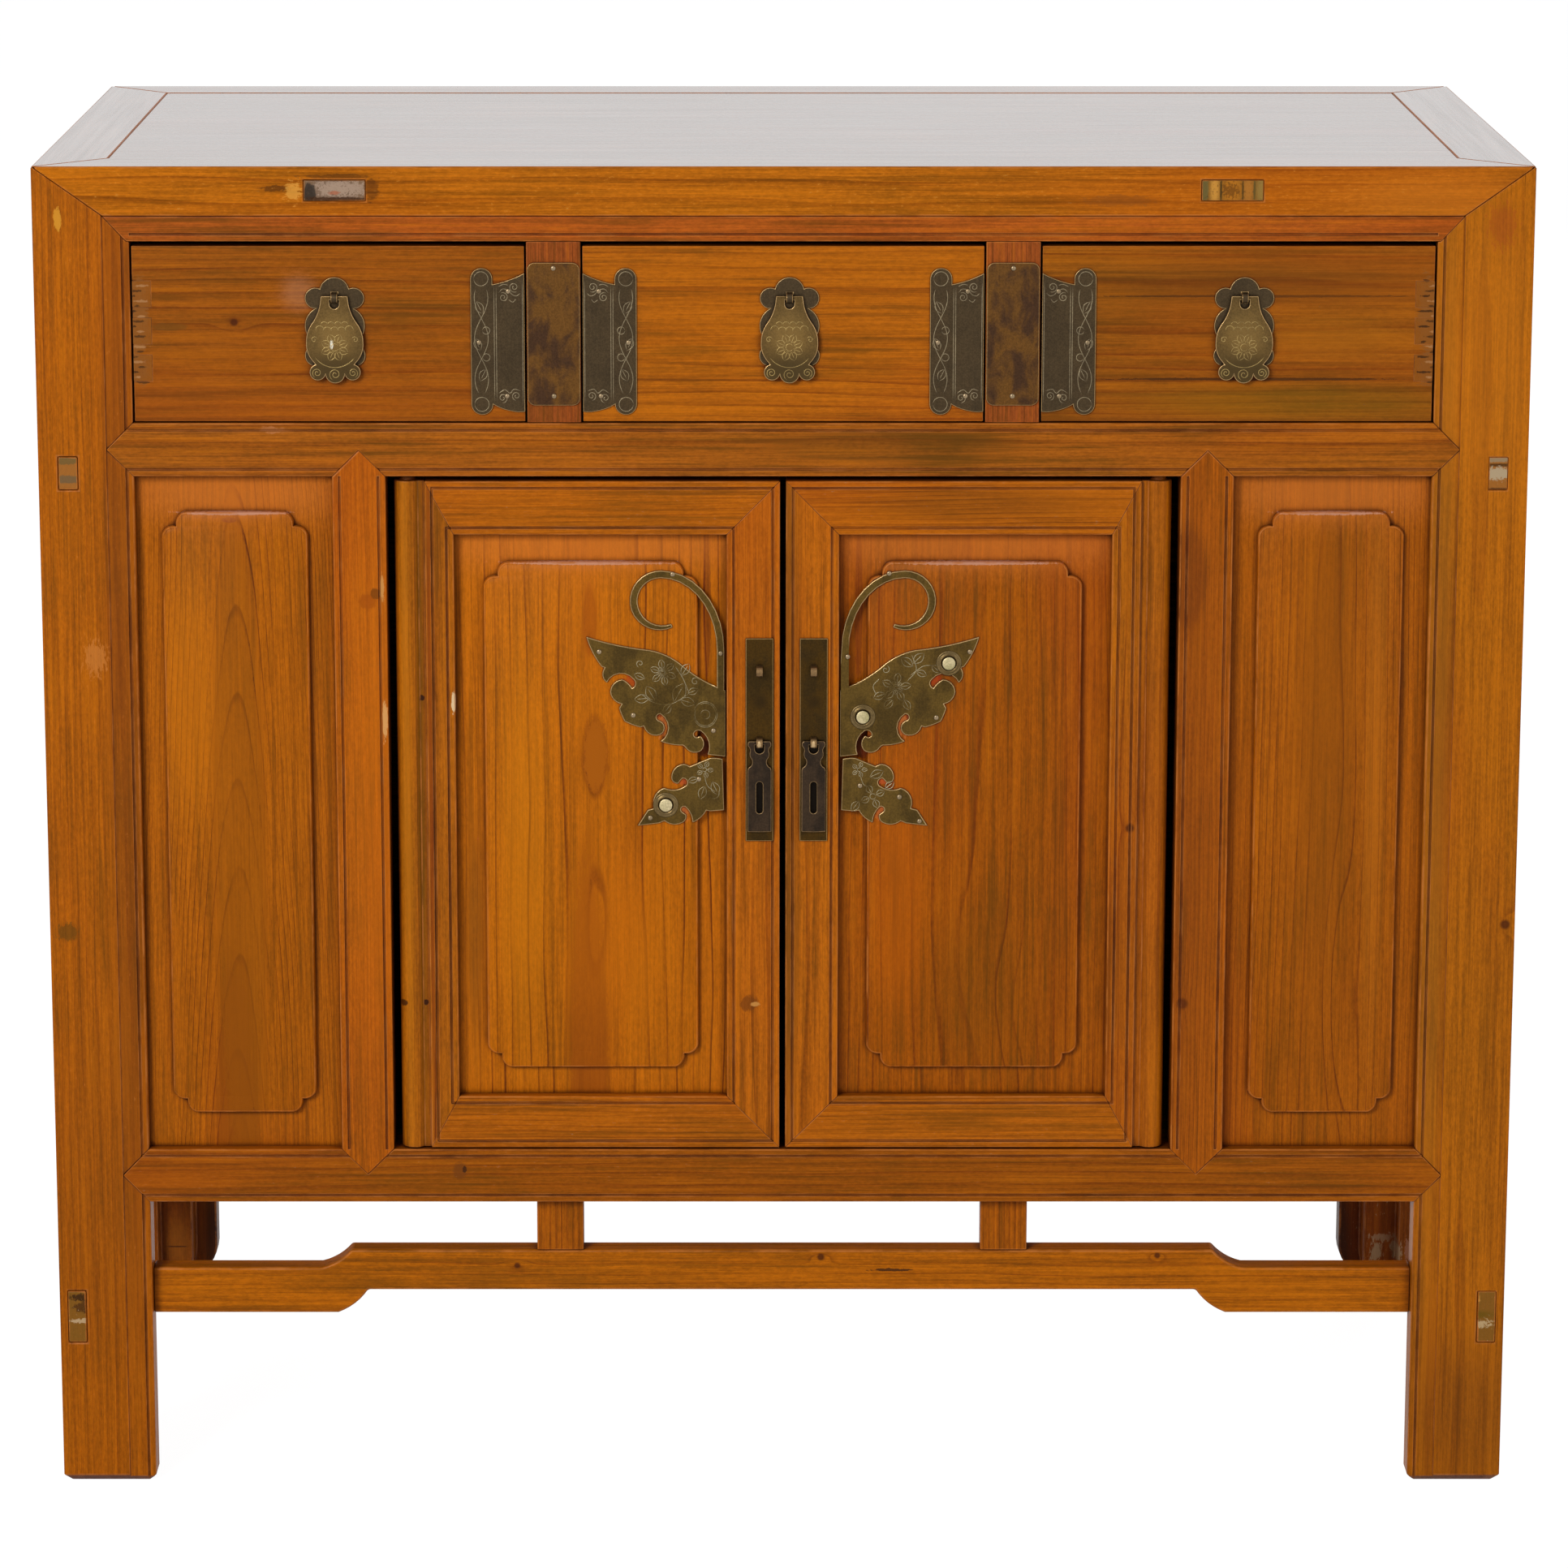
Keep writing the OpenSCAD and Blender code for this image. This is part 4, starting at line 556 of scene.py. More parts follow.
def board(node, along, tone=HONEY, late=HONEY_LATE, soft=0.9, upward=False, heart=None, foot=0.0, **look):
    """A wooden piece: its faces, its edges lightened by wear and painted highlight and, if asked, a
    glossier skin where it faces up, whose colour is halved as painted shade.
    """
    tone, late = tint(*tone), tint(*late)
    low, high = (np.array(v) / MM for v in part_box(node))
    middle = (low + high) / 2
    across, deep, _ = GRAIN_AXES[along]
    seed = grain_seed(node)
    if heart is None:
        heart = (middle[across] + 37 * math.sin(seed), middle[deep] + 70 + 30 * math.cos(seed))
    look = dict(look, heart=heart, seed=seed)
    skins = [wood(node + name, along, tone, late, wear_and_highlight=wear_and_highlight, **look)
             for name, wear_and_highlight in (("_face", 0.0), ("_edge", 0.75))]
    # Painted shade: the up-facing skin has the wood's colour halved under its gloss.
    top_painted_shade = tuple(c * 0.5 for c in tone[:3]) + (1.0,)
    top = wood(node + "_top", along, top_painted_shade, late, gloss=1.0, rough=0.24, **look) if upward else None
    dress(node, soft, *skins, upward=top, foot=foot)


# The last of these dark browns is used for soot lines and for a painted shadow on the top rail.
PALE, GREEN, CHIP, SOOT_AND_SHADOW = (206, 140, 40), (92, 62, 12), (200, 150, 84), (62, 34, 12)
POST_MARKS = {"front_left": dict(tone=(170, 90, 4), marks=((-431, 520, 11, 440, (116, 58, 8), 0.5, 0.5),
        (-450, 200, 40, 130, (120, 60, 8), 0.25, 0.6), (-466, 854, 3, 9, PALE, 0.9, 1.2),
        (-471, 382, 8, 7, GREEN, 0.7, 2.2), (-448, 566, 8, 12, (196, 120, 50), 0.6, 3))),
    "front_right": dict(tone=(172, 96, 7), knots=((476, 387, 4),),
        marks=((428, 520, 9, 440, (148, 90, 20), 0.5, 0.5), (455, 760, 40, 120, (214, 124, 24), 0.3, 0.6),
        (455, 50, 40, 60, (104, 54, 10), 0.4, 0.6), (462, 850, 10, 16, (150, 66, 20), 0.5, 3),)),
    "rear_left": dict(tone=(128, 62, 8), foot=20, marks=((-421, 20, 10, 60, (34, 14, 6), 0.8, 0.6),
        (-448, 30, 12, 22, (136, 80, 20), 0.5, 0.7), (-448, 27, 10, 0.7, (50, 24, 8), 0.7, 1.2))),
    "rear_right": dict(tone=(128, 62, 8), foot=20, marks=((421, 20, 10, 60, (34, 14, 6), 0.8, 0.6),
        (446, 22, 5, 10, (180, 150, 112), 0.8, 3), (460, 26, 4, 9, (180, 150, 112), 0.8, 3),
        (450, 34, 12, 3, (176, 140, 104), 0.7, 3.5), (448, 14, 7, 3, (170, 140, 104), 0.7, 3),
        (468, 30, 3, 9, (176, 120, 90), 0.7, 2.5)))}
for corner, look in POST_MARKS.items():
    board("post_" + corner, "Z", soft=1.4, ring=2.2, lines=0.4, glaze=0.35, **look)
board("top_rail_front", "X", (182, 102, 14), soft=1.2, lines=0.5, glaze=0.4, upward=True,
    marks=((-326, 874, 11, 2.5, SOOT_AND_SHADOW, 0.7, 2.5), (-314, 872, 6, 6, (216, 152, 62), 0.7, 3.4),
        # The dark mark at x -264, by the end of the left tenon, is a painted shadow.
        (-264, 873, 5, 9, SOOT_AND_SHADOW, 0.6, 2.5), (-286, 881.5, 26, 1.8, SOOT_AND_SHADOW, 0.6, 2.5),
        (215, 866, 26, 4, (120, 66, 20), 0.5, 2.5), (-395, 853, 60, 3, (116, 74, 20), 0.4, 1.5),
        (420, 866, 70, 20, (210, 122, 30), 0.35, 0.6)))
board("top_rail_rear", "X", (180, 98, 16), soft=1.2, lines=0.5, upward=True)
board("top_end_rails", "Y", (176, 94, 14), soft=1.2, lines=0.5, upward=True)
board("top_panel", "X", (170, 90, 14), soft=0.5, ring=5, lines=0.6, upward=True)
board("top_battens", "Y", (150, 96, 44), (112, 64, 22), soft=0.6, ring=3, ends=0.9, end_tone=(122, 82, 26),
    marks=((-287, 873, 28, 14, (120, 96, 78), 1, 0.5), (-284, 874, 20, 7, (176, 150, 128), 0.7, 4),
        (-304, 871, 5, 7, (44, 38, 32), 0.9, 1.6), (-288, 871, 4, 1.6, (166, 96, 66), 0.8, 2),
        (-287, 880, 24, 1.6, SOOT_AND_SHADOW, 0.9, 2.5), (-286, 867, 24, 1.6, SOOT_AND_SHADOW, 0.9, 3),
        (270, 873, 3, 12, (104, 92, 50), 0.9, 1.2), (276.5, 873, 3.4, 12, (198, 140, 58), 1, 0.5),
        (287.5, 873, 7.5, 12, (180, 112, 28), 1, 0.5), (298, 873, 4, 12, (168, 108, 40), 1, 0.5),
        (306.5, 873, 4, 12, (146, 114, 54), 1, 0.6), (287, 873, 6, 5, SOOT_AND_SHADOW, 0.6, 5),
        (280.5, 873, 0.9, 9, (70, 52, 20), 0.9, 1.2), (294.5, 873, 0.8, 9, (70, 52, 20), 0.8, 1.2),
        (302, 873, 0.9, 9, (90, 76, 36), 0.8, 1.2)))
board("frieze_strip", "X", (170, 84, 20), ring=3, lines=0.6)
board("drawer_rail", "X", (160, 88, 16), ring=2.6, lines=0.6, glaze=0.75,
      marks=((-330, 717, 8, 3, (176, 112, 66), 0.7, 2.5), (71, 706, 90, 12, (84, 54, 10), 0.35, 1.5)))
board("base_rail", "X", (152, 80, 6), ring=2.6, lines=0.6, glaze=0.6, figure=0.45,
    marks=((-214, 218, 5, 7, (112, 60, 16), 0.7, 1.8), (-211, 219, 1.6, 3, (64, 34, 12), 0.9, 1.2),
        (-356, 238, 48, 1.3, (150, 120, 88), 0.5, 3)))
board("mullions", "Z", (176, 90, 7), ring=2.6, lines=0.5, knots=((264, 333, 4.5),),
    marks=((-270, 604, 7, 6, (126, 50, 6), 0.7, 1.4), (-265, 609, 4.4, 4.2, (50, 24, 8), 0.95, 1.2),
        (-260, 525, 2.2, 14, (216, 172, 110), 0.95, 1.8), (-261, 612, 1.8, 10, CHIP, 0.9, 2),
        (-262, 480, 30, 240, (210, 112, 10), 0.35, 0.5), (262, 470, 30, 300, (112, 52, 10), 0.45, 0.5),
        (264, 620, 14, 40, (96, 44, 10), 0.4, 1.2)))
field_panel("front_panel_left", (-404, -308.75), (257, 662.5), -227.15, (172, 92, 5), heart=(-360, -190.7),
    ring=2.2, taper=0.035, lines=1, glaze=0.3, figure=0.45,
    marks=((-359.5, 657, 5.5, 2.2, (128, 60, 24), 0.9, 1.2), (-388, 540, 22, 100, (204, 116, 6), 0.4, 0.6),
        *tongue(-361.5, 361.4, 13.7, 161, (84, 36, 4), (164, 84, 6)),
        *tongue(-357, 649.6, 15, 230, (90, 40, 4), (176, 100, 6), 0.3)))
field_panel("front_panel_right", (308.75, 404), (257, 662.5), -227.15, (166, 87, 5), heart=(355, -196),
    ring=3, taper=0.006, lines=0.85, glaze=0.35, figure=0.45, swells=((368, 340, 11, 90, 6),),
    marks=((355, 520, 22, 190, (140, 76, 6), 0.5, 0.5), (388, 480, 8, 200, (196, 112, 20), 0.4, 0.6)))
board("drawer_dividers", "Z", (150, 74, 26), soft=0.7, ring=2.5)
board("side_rails", "Y", ring=3, ends=0.9, end_tone=(154, 98, 40),
    marks=((-465, 697, 14, 3, (106, 86, 46), 0.8, 1.2), (-465, 684.5, 14, 3, (104, 86, 58), 0.8, 1.2),
        (463, 698, 14, 2.5, (150, 130, 100), 0.8, 1.4), (463, 694, 14, 1.2, (60, 36, 12), 0.8, 1.2),
        (463, 688.5, 14, 4.5, (178, 158, 126), 0.9, 2.2), (463, 678, 14, 1.2, (50, 30, 12), 0.8, 1)))
board("side_stretchers", "Y", soft=1.2, ring=3, ends=0.9, end_tone=(126, 86, 28),
    marks=((-465, 142.5, 14, 2, (206, 170, 146), 0.9, 1.6), (-465, 137, 14, 3.6, (142, 92, 10), 0.9, 0.6),
        (-465, 130, 14, 3, (56, 32, 10), 0.9, 2), (-465, 123, 9, 4.5, (70, 38, 12), 0.8, 2),
        (-465, 113.5, 14, 1.8, (190, 160, 120), 0.9, 2.2), (463, 141, 14, 3, (108, 90, 54), 0.8, 1.5),
        (460.5, 129, 6.6, 7.6, (200, 142, 62), 0.9, 1), (460.5, 129, 4.6, 5.8, (136, 72, 10), 0.95, 1),
        (463, 118, 14, 3, (104, 78, 12), 0.8, 0.8), (463, 111.5, 14, 3, (196, 168, 124), 0.8, 3)))
board("side_panels", "Z", (166, 88, 6), soft=0.6, ring=4.5, lines=0.6)
board("back_rails", "X", (150, 96, 44), (112, 64, 22))
board("back_panels", "X", (156, 102, 50), (116, 68, 26), soft=0.6, ring=6)
board("floor_boards", "X", (160, 108, 56), (120, 72, 30), soft=0.6, ring=5)
board("drawer_runners", "Y", (160, 108, 56), (120, 72, 30), soft=0.8)
board("front_stretcher", "X", (178, 97, 5), soft=1.6, ring=3, lines=0.5, glaze=0.45,
      knots=((-177, 149, 2.5), (26, 155, 3), (251, 156, 2.5)), marks=((72, 146, 18, 1.2, SOOT_AND_SHADOW, 0.9, 2),))
board("stretcher_struts", "Z", (164, 86, 6), soft=0.8, ring=3)


def slot_highlight_and_shade(way):
    """Patches on the panel behind a wing, where its pierced slots show: pink ones are painted highlights,
    dark red ones painted shade, with a long dark red line down the margin.
    """
    spots = ((79, 521, 6, 9, (206, 116, 62), 0.5, 2.2), (83, 529, 4, 5, (104, 20, 8), 0.7, 2),
        (52, 508, 6, 13, (84, 18, 8), 0.75, 1.2), (66, 484, 7, 4, (196, 84, 44), 0.6, 2.2),
        (66, 463, 6, 8, (206, 112, 62), 0.5, 2.2), (98, 551, 7, 5, (170, 56, 24), 0.6, 2.2),
        (49.5, 600, 3, 60, (84, 18, 8), 0.5, 1.2))
    return tuple((way * spot[0],) + spot[1:] for spot in spots)


DOOR_LOOKS = {"left": dict(tone=(188, 102, 5), lines=1, ring=7, figure=0.42,
        swells=((-123, 500, 9, 30, 7), (-126, 576, 8, 36, 5), (-122, 380, 12, 70, 5.5)),
        marks=((-123, 500, 10.2, 31, (120, 54, 5), 0.8, 1), (-123, 500, 9.2, 29, (168, 90, 9), 0.95, 1),
        (-126, 590, 5.5, 28, (150, 70, 6), 0.5, 1),
        *tongue(-128, 427, 12.3, 150, (90, 40, 4), (168, 84, 8)),
        (-170, 430, 18, 150, (206, 122, 8), 0.4, 0.6), (-203, 380, 6, 80, (104, 62, 12), 0.5, 0.6),
        (-110, 380, 40, 70, (214, 116, 8), 0.3, 0.6), *slot_highlight_and_shade(-1))),
    "right": dict(tone=(160, 82, 3), glaze=0.6, lines=0.8, ring=6, figure=0.5,
        swells=((150, 330, 16, 40, 5), (128, 372, 12, 40, 4)),
        marks=((128, 345, 34, 50, (104, 66, 6), 0.25, 0.8), (76, 400, 22, 110, (196, 96, 6), 0.4, 0.6),
        *slot_highlight_and_shade(1)))}
STILE_LOOKS = {"left": dict(marks=((-215, 537, 1.6, 8, (226, 196, 150), 0.95, 1.5),
        (-246, 480, 4, 300, (196, 116, 10), 0.5, 0.6), (-237, 480, 2.5, 300, (118, 80, 8), 0.5, 0.6),
        (-230.5, 480, 1.4, 300, (112, 36, 10), 0.6, 0.8), (-236, 539, 2.2, 2.4, (48, 22, 8), 0.95, 1),
        (-250, 333, 3, 2.5, (64, 30, 8), 0.9, 1.2), (-235.5, 333, 2.2, 2.4, (48, 22, 8), 0.95, 1))),
    "right": dict(knots=((228, 452, 3.5),))}
for side in SIDES:
    d = f"door_{side}_"
    board(d + "hinge_stile", "Z", (168, 92, 10), ring=2.8, glaze=0.4, **STILE_LOOKS[side])
    board(d + "meeting_stile", "Z", (180, 96, 10), ring=2.8, lines=0.5, glaze=0.4,
        marks=((-22, 333, 7, 6, (110, 56, 12), 0.7, 1.6), (-18, 332.5, 3.6, 1.8, (196, 136, 66), 0.9, 1))
        if side == "left" else ((4, 480, 6, 300, (96, 60, 12), 0.55, 0.6),))
    board(d + "rails", "X", (178, 95, 8), ring=3.2, lines=0.6, glaze=0.45, figure=0.42,
        marks=((SIDES[side] * 127, 276, 75, 1.3, (150, 120, 88), 0.6, 3),
            (127, 668, 80, 12, (104, 58, 10), 0.4, 0.6)))
    edges = sorted((SIDES[side] * 55.35, SIDES[side] * 195.25))
    field_panel(d + "panel", edges, (287.8, 629.3), -226.15, heart=(SIDES[side] * 118, -170),
                **{"glaze": 0.3, **DOOR_LOOKS[side]})


def comb(x, share=0.95):
    """Rough ends of the joints at a drawer's outer corner: a pale ragged band with short bars."""
    hues = (74, 44, 16), (168, 118, 72), (56, 32, 12)
    bars = [(x + 4 * math.sin(7 * z), z, 4 + 2 * math.sin(3 * z), 0.9, hues[k % 3], 0.85, 2.2)
            for k, z in enumerate(np.linspace(748, 814, 21))]
    return [(x, 790, 9, 30, (134, 84, 36), 0.8 * share, 2.2),
        (x, 757, 8, 12, (130, 80, 34), 0.8 * share, 2.4)] + bars


DRAWER_LOOKS = {"left": dict(tone=(149, 80, 10), heart=(770, -170), knots=((-354, 787, 3),),
        marks=((-396, 784, 14, 3, (104, 66, 16), 0.6, 1.2), (-312, 806, 12, 12, (176, 124, 90), 0.3, 0.8),
        *comb(-417))),
    "middle": dict(tone=(176, 96, 10), heart=(790, -150)),
    "right": dict(tone=(150, 84, 12), heart=(800, -150), marks=((300, 750, 110, 1.1, SOOT_AND_SHADOW, 0.8, 1.5),
        (300, 812, 120, 14, (92, 60, 12), 0.35, 0.6), (300, 804, 120, 1, SOOT_AND_SHADOW, 0.6, 1.5),
        (330, 735, 120, 12, (112, 84, 10), 0.4, 0.6), (350, 778, 60, 16, (176, 104, 16), 0.35, 0.6),
        *comb(417)))}
for name in DRAWERS:
    d = f"drawer_{name}_"
    board(d + "front", "X", soft=0.45, lines=0.65, glaze=0.6, figure=0.42, **DRAWER_LOOKS[name])
    board(d + "sides", "Y", (158, 104, 52), (116, 70, 30), soft=0.2, ends=0.9, end_tone=(140, 78, 16),
        dirt=0.1, marks=() if name == "middle" else comb(-417 if name == "left" else 417, 0.55))
    board(d + "back", "X", (158, 104, 52), (116, 70, 30), soft=0.6)
    board(d + "bottom", "X", (166, 114, 62), (126, 78, 36), soft=0.4)

# The rim skins, on the rounded edges of the plates, are lighter brass: partly wear, partly painted
# highlight.
OLIVE = brass("wing_brass", (92, 70, 28), (66, 50, 20), patch=0.8)
OLIVE_RIM = brass("wing_rim", (146, 124, 88), (104, 84, 50), wear_and_highlight=0.6, rough=0.28)
# Near-black patches over the slot behind each tag and over the hole at its top are painted shade; a browner
# patch lies round each upper staple.
LOCK = brass("lock_brass", (66, 45, 10), (50, 36, 12), patch=0.8,
    marks=sum(([(x, 473.5, 3.6, 15, (14, 9, 5), 0.95, 1), (x, 504, 4, 4.5, (14, 9, 5), 0.95, 1),
        (x, 537, 5, 5, (40, 28, 10), 0.6, 0.8)] for x in (-15.2, 20.2)), []))
LOCK_RIM = brass("lock_rim", (112, 88, 44), (96, 74, 40), wear_and_highlight=0.5, rough=0.34)
TAG = brass("tag_metal", (44, 34, 25), (62, 47, 33), patch=0.8, rough=0.34)
TAG_RIM = brass("tag_rim", (86, 68, 48), (76, 60, 44), wear_and_highlight=0.35, rough=0.34)
SCROLL = brass("scroll_brass", (70, 56, 37), (56, 45, 30))
SCROLL_RIM = brass("scroll_rim", (150, 124, 84), (120, 98, 66), wear_and_highlight=0.7, rough=0.32)
PATINA = brass("divider_brass", (100, 66, 27), (60, 40, 27), patch=0.9)
PATINA_RIM = brass("divider_rim", (122, 88, 46), (84, 60, 40), wear_and_highlight=0.5, rough=0.34)
# Painted light and shade of a dome on each drop: lighter on the belly, darker towards the foot.
DROP_DOME_LIGHT_AND_SHADE = sum(([(x, 778, 14, 18, (138, 108, 58), 0.5, 0.5), (x, 755, 24, 14, (66, 52, 28), 0.8, 0.5)]
        for x in (-289, 4, 297)), [])
DROP = brass("drop_brass", (94, 72, 38), (74, 58, 32), marks=DROP_DOME_LIGHT_AND_SHADE
    + [(-291, 773, 1.2, 3.5, (220, 214, 196), 0.9, 1)])
DROP_RIM = brass("drop_rim", (170, 140, 96), (140, 114, 76), wear_and_highlight=0.6, rough=0.3)
# Pale stripes down the middle of the staples are painted highlights.
WIRE = brass("staple_brass", (104, 78, 52), (80, 58, 38), wear_and_highlight=0.3, rough=0.34,
             marks=[(x, z, 1.3, 3.4, (212, 182, 136), 0.75, 1) for x in (-15.4, 20) for z in (538, 509)])
RING = brass("washer_brass", (94, 78, 48), (70, 55, 26), rough=0.28, wear_and_highlight=0.12)
STEEL = brass("stud_metal", (196, 180, 140), (150, 142, 96), patch=0.7)
LINE = brass("engraved_line", (132, 118, 92), (100, 88, 68), rough=0.4)
FAINT = brass("faint_line", (142, 130, 102), (88, 70, 34), patch=1, rough=0.36)
BRIGHT = brass("drop_line", (150, 126, 76), (104, 84, 50), rough=0.4)

for side in SIDES:
    d = f"door_{side}_"
    dress(d + "lock_plate", 0.5, LOCK, LOCK_RIM, plate=True)
    dress(d + "butterfly", 0.7, OLIVE, OLIVE_RIM, plate=True)
    dress(d + "staples", 0.3, WIRE, WIRE, even=True)
    dress(d + "pull", 0.5, TAG, TAG_RIM, plate=True)
dress("divider_plates", 0.5, PATINA, PATINA_RIM, plate=True)
for name in DRAWERS:
    dress(f"drawer_{name}_fittings", 0.4, SCROLL, SCROLL_RIM, even=True)
    dress(f"drawer_{name}_pull", 0.5, DROP, DROP_RIM, plate=True)


# Nails, studs and engraved lines


LINE_HALF, LINE_HIGH = 0.27, 0.1


def ribbon(shell, path, depth):
    """A raised line along an (n, 2) path of (x, z), narrowed to a point at both ends."""
    path = np.asarray(path, float)
    way = np.gradient(path, axis=0)
    way /= np.maximum(np.linalg.norm(way, axis=1, keepdims=True), 1e-9)
    left = np.stack([-way[:, 1], way[:, 0]], -1)
    order = np.arange(len(path))
    width = LINE_HALF * np.clip(np.minimum(order, order[::-1]) / 3.0 + 0.1, 0.0, 1.0)[:, None]
    shell.grid([np.insert(path + left * width * k, 1, depth - LINE_HIGH * h, axis=1)
                for k, h in ((-1, -0.3), (0, 1), (1, -0.3))])


def turned(shell, centre, depth, profile, n):
    """A round head: a profile of (radius, height) pairs turned about the axis that faces forwards."""
    angle = np.linspace(0, 2 * np.pi, n, endpoint=False)
    rows = [np.stack([centre[0] + r * np.cos(angle), np.full(n, depth - h), centre[1] + r * np.sin(angle)],
            -1) for r, h in profile]
    shell.grid(rows, closed=True, cap=True)


def arc(centre, r, start, end, n=14, squash=1.0):
    """Points on a circle's arc, angles in degrees, its height scaled by squash."""
    angle = np.radians(np.linspace(start, end, n))
    return np.stack([centre[0] + r * np.cos(angle), centre[1] + r * squash * np.sin(angle)], -1)


def curl(centre, r, turns, start=0.0, way=1):
    """A spiral whose radius grows evenly from a seventh of r to r."""
    t = np.linspace(0, 1, int(20 * turns) + 8)
    angle = np.radians(start) + way * 2 * np.pi * turns * t
    size = r * (1 / 7 + 6 / 7 * t)
    return np.stack([centre[0] + size * np.cos(angle), centre[1] + size * np.sin(angle)], -1)


def leaf(base, tip, swell=0.28):
    """A leaf from base to tip: two sides that bow out as a sine and meet at both ends, and a vein."""
    t = np.linspace(0, 1, 12)[:, None]
    base, tip = np.array(base, float), np.array(tip, float)
    way = tip - base
    side = np.array([-way[1], way[0]])
    return [base + way * t + side * swell * k * np.sin(np.pi * t) for k in (1, -1)] + [base + way * t * 0.8]


def bloom(centre, r, petals, start=0.0, core=0.22, swell=0.3):
    """A flower: a small ring with leaf-shaped petals round it."""
    angles = np.radians(start) + 2 * np.pi * np.arange(petals) / petals
    out = [arc(centre, r * core, 0, 360, 12)]
    for turn in angles:
        way = np.array([math.cos(turn), math.sin(turn)])
        out += leaf(centre + way * r * core * 1.2, centre + way * r, swell)
    return out


def leaves(*ends):
    """Leaves whose bases and tips are given as (x, z, x, z)."""
    return sum((leaf(end[:2], end[2:]) for end in ends), [])


def wave(points):
    """A smooth curve through the points, by a uniform cubic through each four of them."""
    p = np.array(points, float)
    p = np.concatenate([[2 * p[0] - p[1]], p, [2 * p[-1] - p[-2]]])
    t = np.linspace(0, 1, max(4, 24 // (len(points) - 1)), endpoint=False)[:, None]
    out = []
    for a, b, c, d in zip(p[:-3], p[1:-2], p[2:-1], p[3:]):
        square, cube = 2 * a - 5 * b + 4 * c - d, 3 * b - a - 3 * c + d
        out.append(0.5 * (2 * b + (c - a) * t + square * t ** 2 + cube * t ** 3))
    return np.concatenate(out + [p[None, -2]])


NAIL = ((1.65, -0.2), (1.65, 0.1), (1.4, 0.42), (0.9, 0.62), (0.35, 0.7))
WASHER = ((8.4, -0.2), (8.4, 0.1), (8.0, 0.45), (7.5, 0.55), (7.1, 0.3), (6.6, 0.3), (6.2, 0.8), (5.8, 1.0),
    (5.3, 0.9), (4.9, 0.4), (3.5, 0.35))
HEAD = ((4.3, 0.2), (4.3, 1.35), (4.1, 1.6), (3.7, 1.72), (1.0, 1.78))
WING_EDGE, WING_MIDDLE = 37.15, 499.8
SCROLL_FOOT, DROP_EYE = 726.8, 803.3
PLATE_FACE = {"wing": -232.35, "scroll": -235.35, "divider": -236.35, "drop": -238.65}


def fixings(name, body, depth, lines=(), nails=(), line_skin=None):
    """Engraved lines and nail heads of one plate, as two pieces that ride with it."""
    if len(lines):
        shell = Shell()
        for path in lines:
            ribbon(shell, path, depth)
        link(name + "_engraving", shell.mesh(name + "_engraving"), body, line_skin or LINE)
    if len(nails):
        shell = Shell()
        for centre in nails:
            turned(shell, centre, depth, NAIL, 14)
        link(name + "_nails", shell.mesh(name + "_nails"), body, NAILS)


def on_wing(side, points):
    """From the wing's own frame (outwards from its straight edge, up from its middle) to x and z."""
    p = np.asarray(points, float)
    return np.stack([SIDES[side] * (WING_EDGE + p[..., 0]), WING_MIDDLE + p[..., 1]], -1)


NAILS = brass("nail_heads", (146, 126, 98), (104, 88, 62), rough=0.3)
WING_NAILS = {"left": ((82.8, 69.9), (60.6, 27.5), (8.2, 17.2), (17.7, -15.4), (49.7, -41.5), (3.5, 68.8),
        (34.7, 121.5)),
    "right": ((85.0, 69.9), (63.3, 25.9), (5.2, 66.6), (13.6, -19.8), (39.5, -27.4), (52.7, -43.7),
        (32.0, 122.0))}
WING_STUDS = {"left": ((39.5, -32.8),), "right": ((71.3, 62.3), (15.2, 26.4))}
WING_LINES = {"left": bloom((41, 56), 9.0, 6, 20) + bloom((41, 56), 4.5, 6, 50)
    + [wave([(56, 42), (47, 36), (36, 35), (24, 42)]), wave([(24, 42), (28, 52), (33, 60)])]
    + leaves((34, 36, 27, 49), (30, 38, 20, 35), (46, 37, 52, 47), (25, 42, 18, 45), (50, 39, 60, 38),
        (29, 54, 24, 62), (53, 52, 60, 55), (36, 35, 41, 28))
    + [curl((20, 50), 3.0, 1.2, 90), curl((56, 62), 2.6, 1.2, 0, -1)]
    + [arc((13.5, 28), 7.8, 20, 350, 30, 1.1), arc((13.5, 28), 6.9, 60, 390, 30, 1.1),
        arc((13.5, 28), 3.0, 0, 300, 16)] + bloom((14, -9), 6.0, 5, 40)
    + leaves((9, -17, 5, -26), (14, -20, 17, -29), (18, -15, 25, -17)) + [arc((8, -25), 3.5, 150, 300)]
    + [wave([(14, -14), (12, -20), (7, -24)])],
    "right": bloom((37, 46), 10.0, 5, 10) + bloom((37, 46), 5.0, 5, 46)
    + [wave([(44, 50), (50, 58), (47, 68)]), wave([(46, 54), (54, 60), (60, 61)])]
    + leaves((48, 60, 40, 66), (48, 62, 55, 69), (50, 57, 57, 54), (30, 42, 22, 39), (60, 61, 66, 56),
        (35, 38, 29, 32), (42, 38, 46, 31))
    + [wave([(26, 52), (22, 47), (24, 41)]), curl((30, 58), 2.8, 1.2, 0)]
    + bloom((22, -27), 8.5, 4, 25, swell=0.34) + bloom((13, -9), 5.5, 5)
    + leaves((20, -14, 29, -10), (30, -22, 36, -17), (13, -30, 8, -37))
    + [wave([(14, -14), (16, -19), (20, -21)])]}
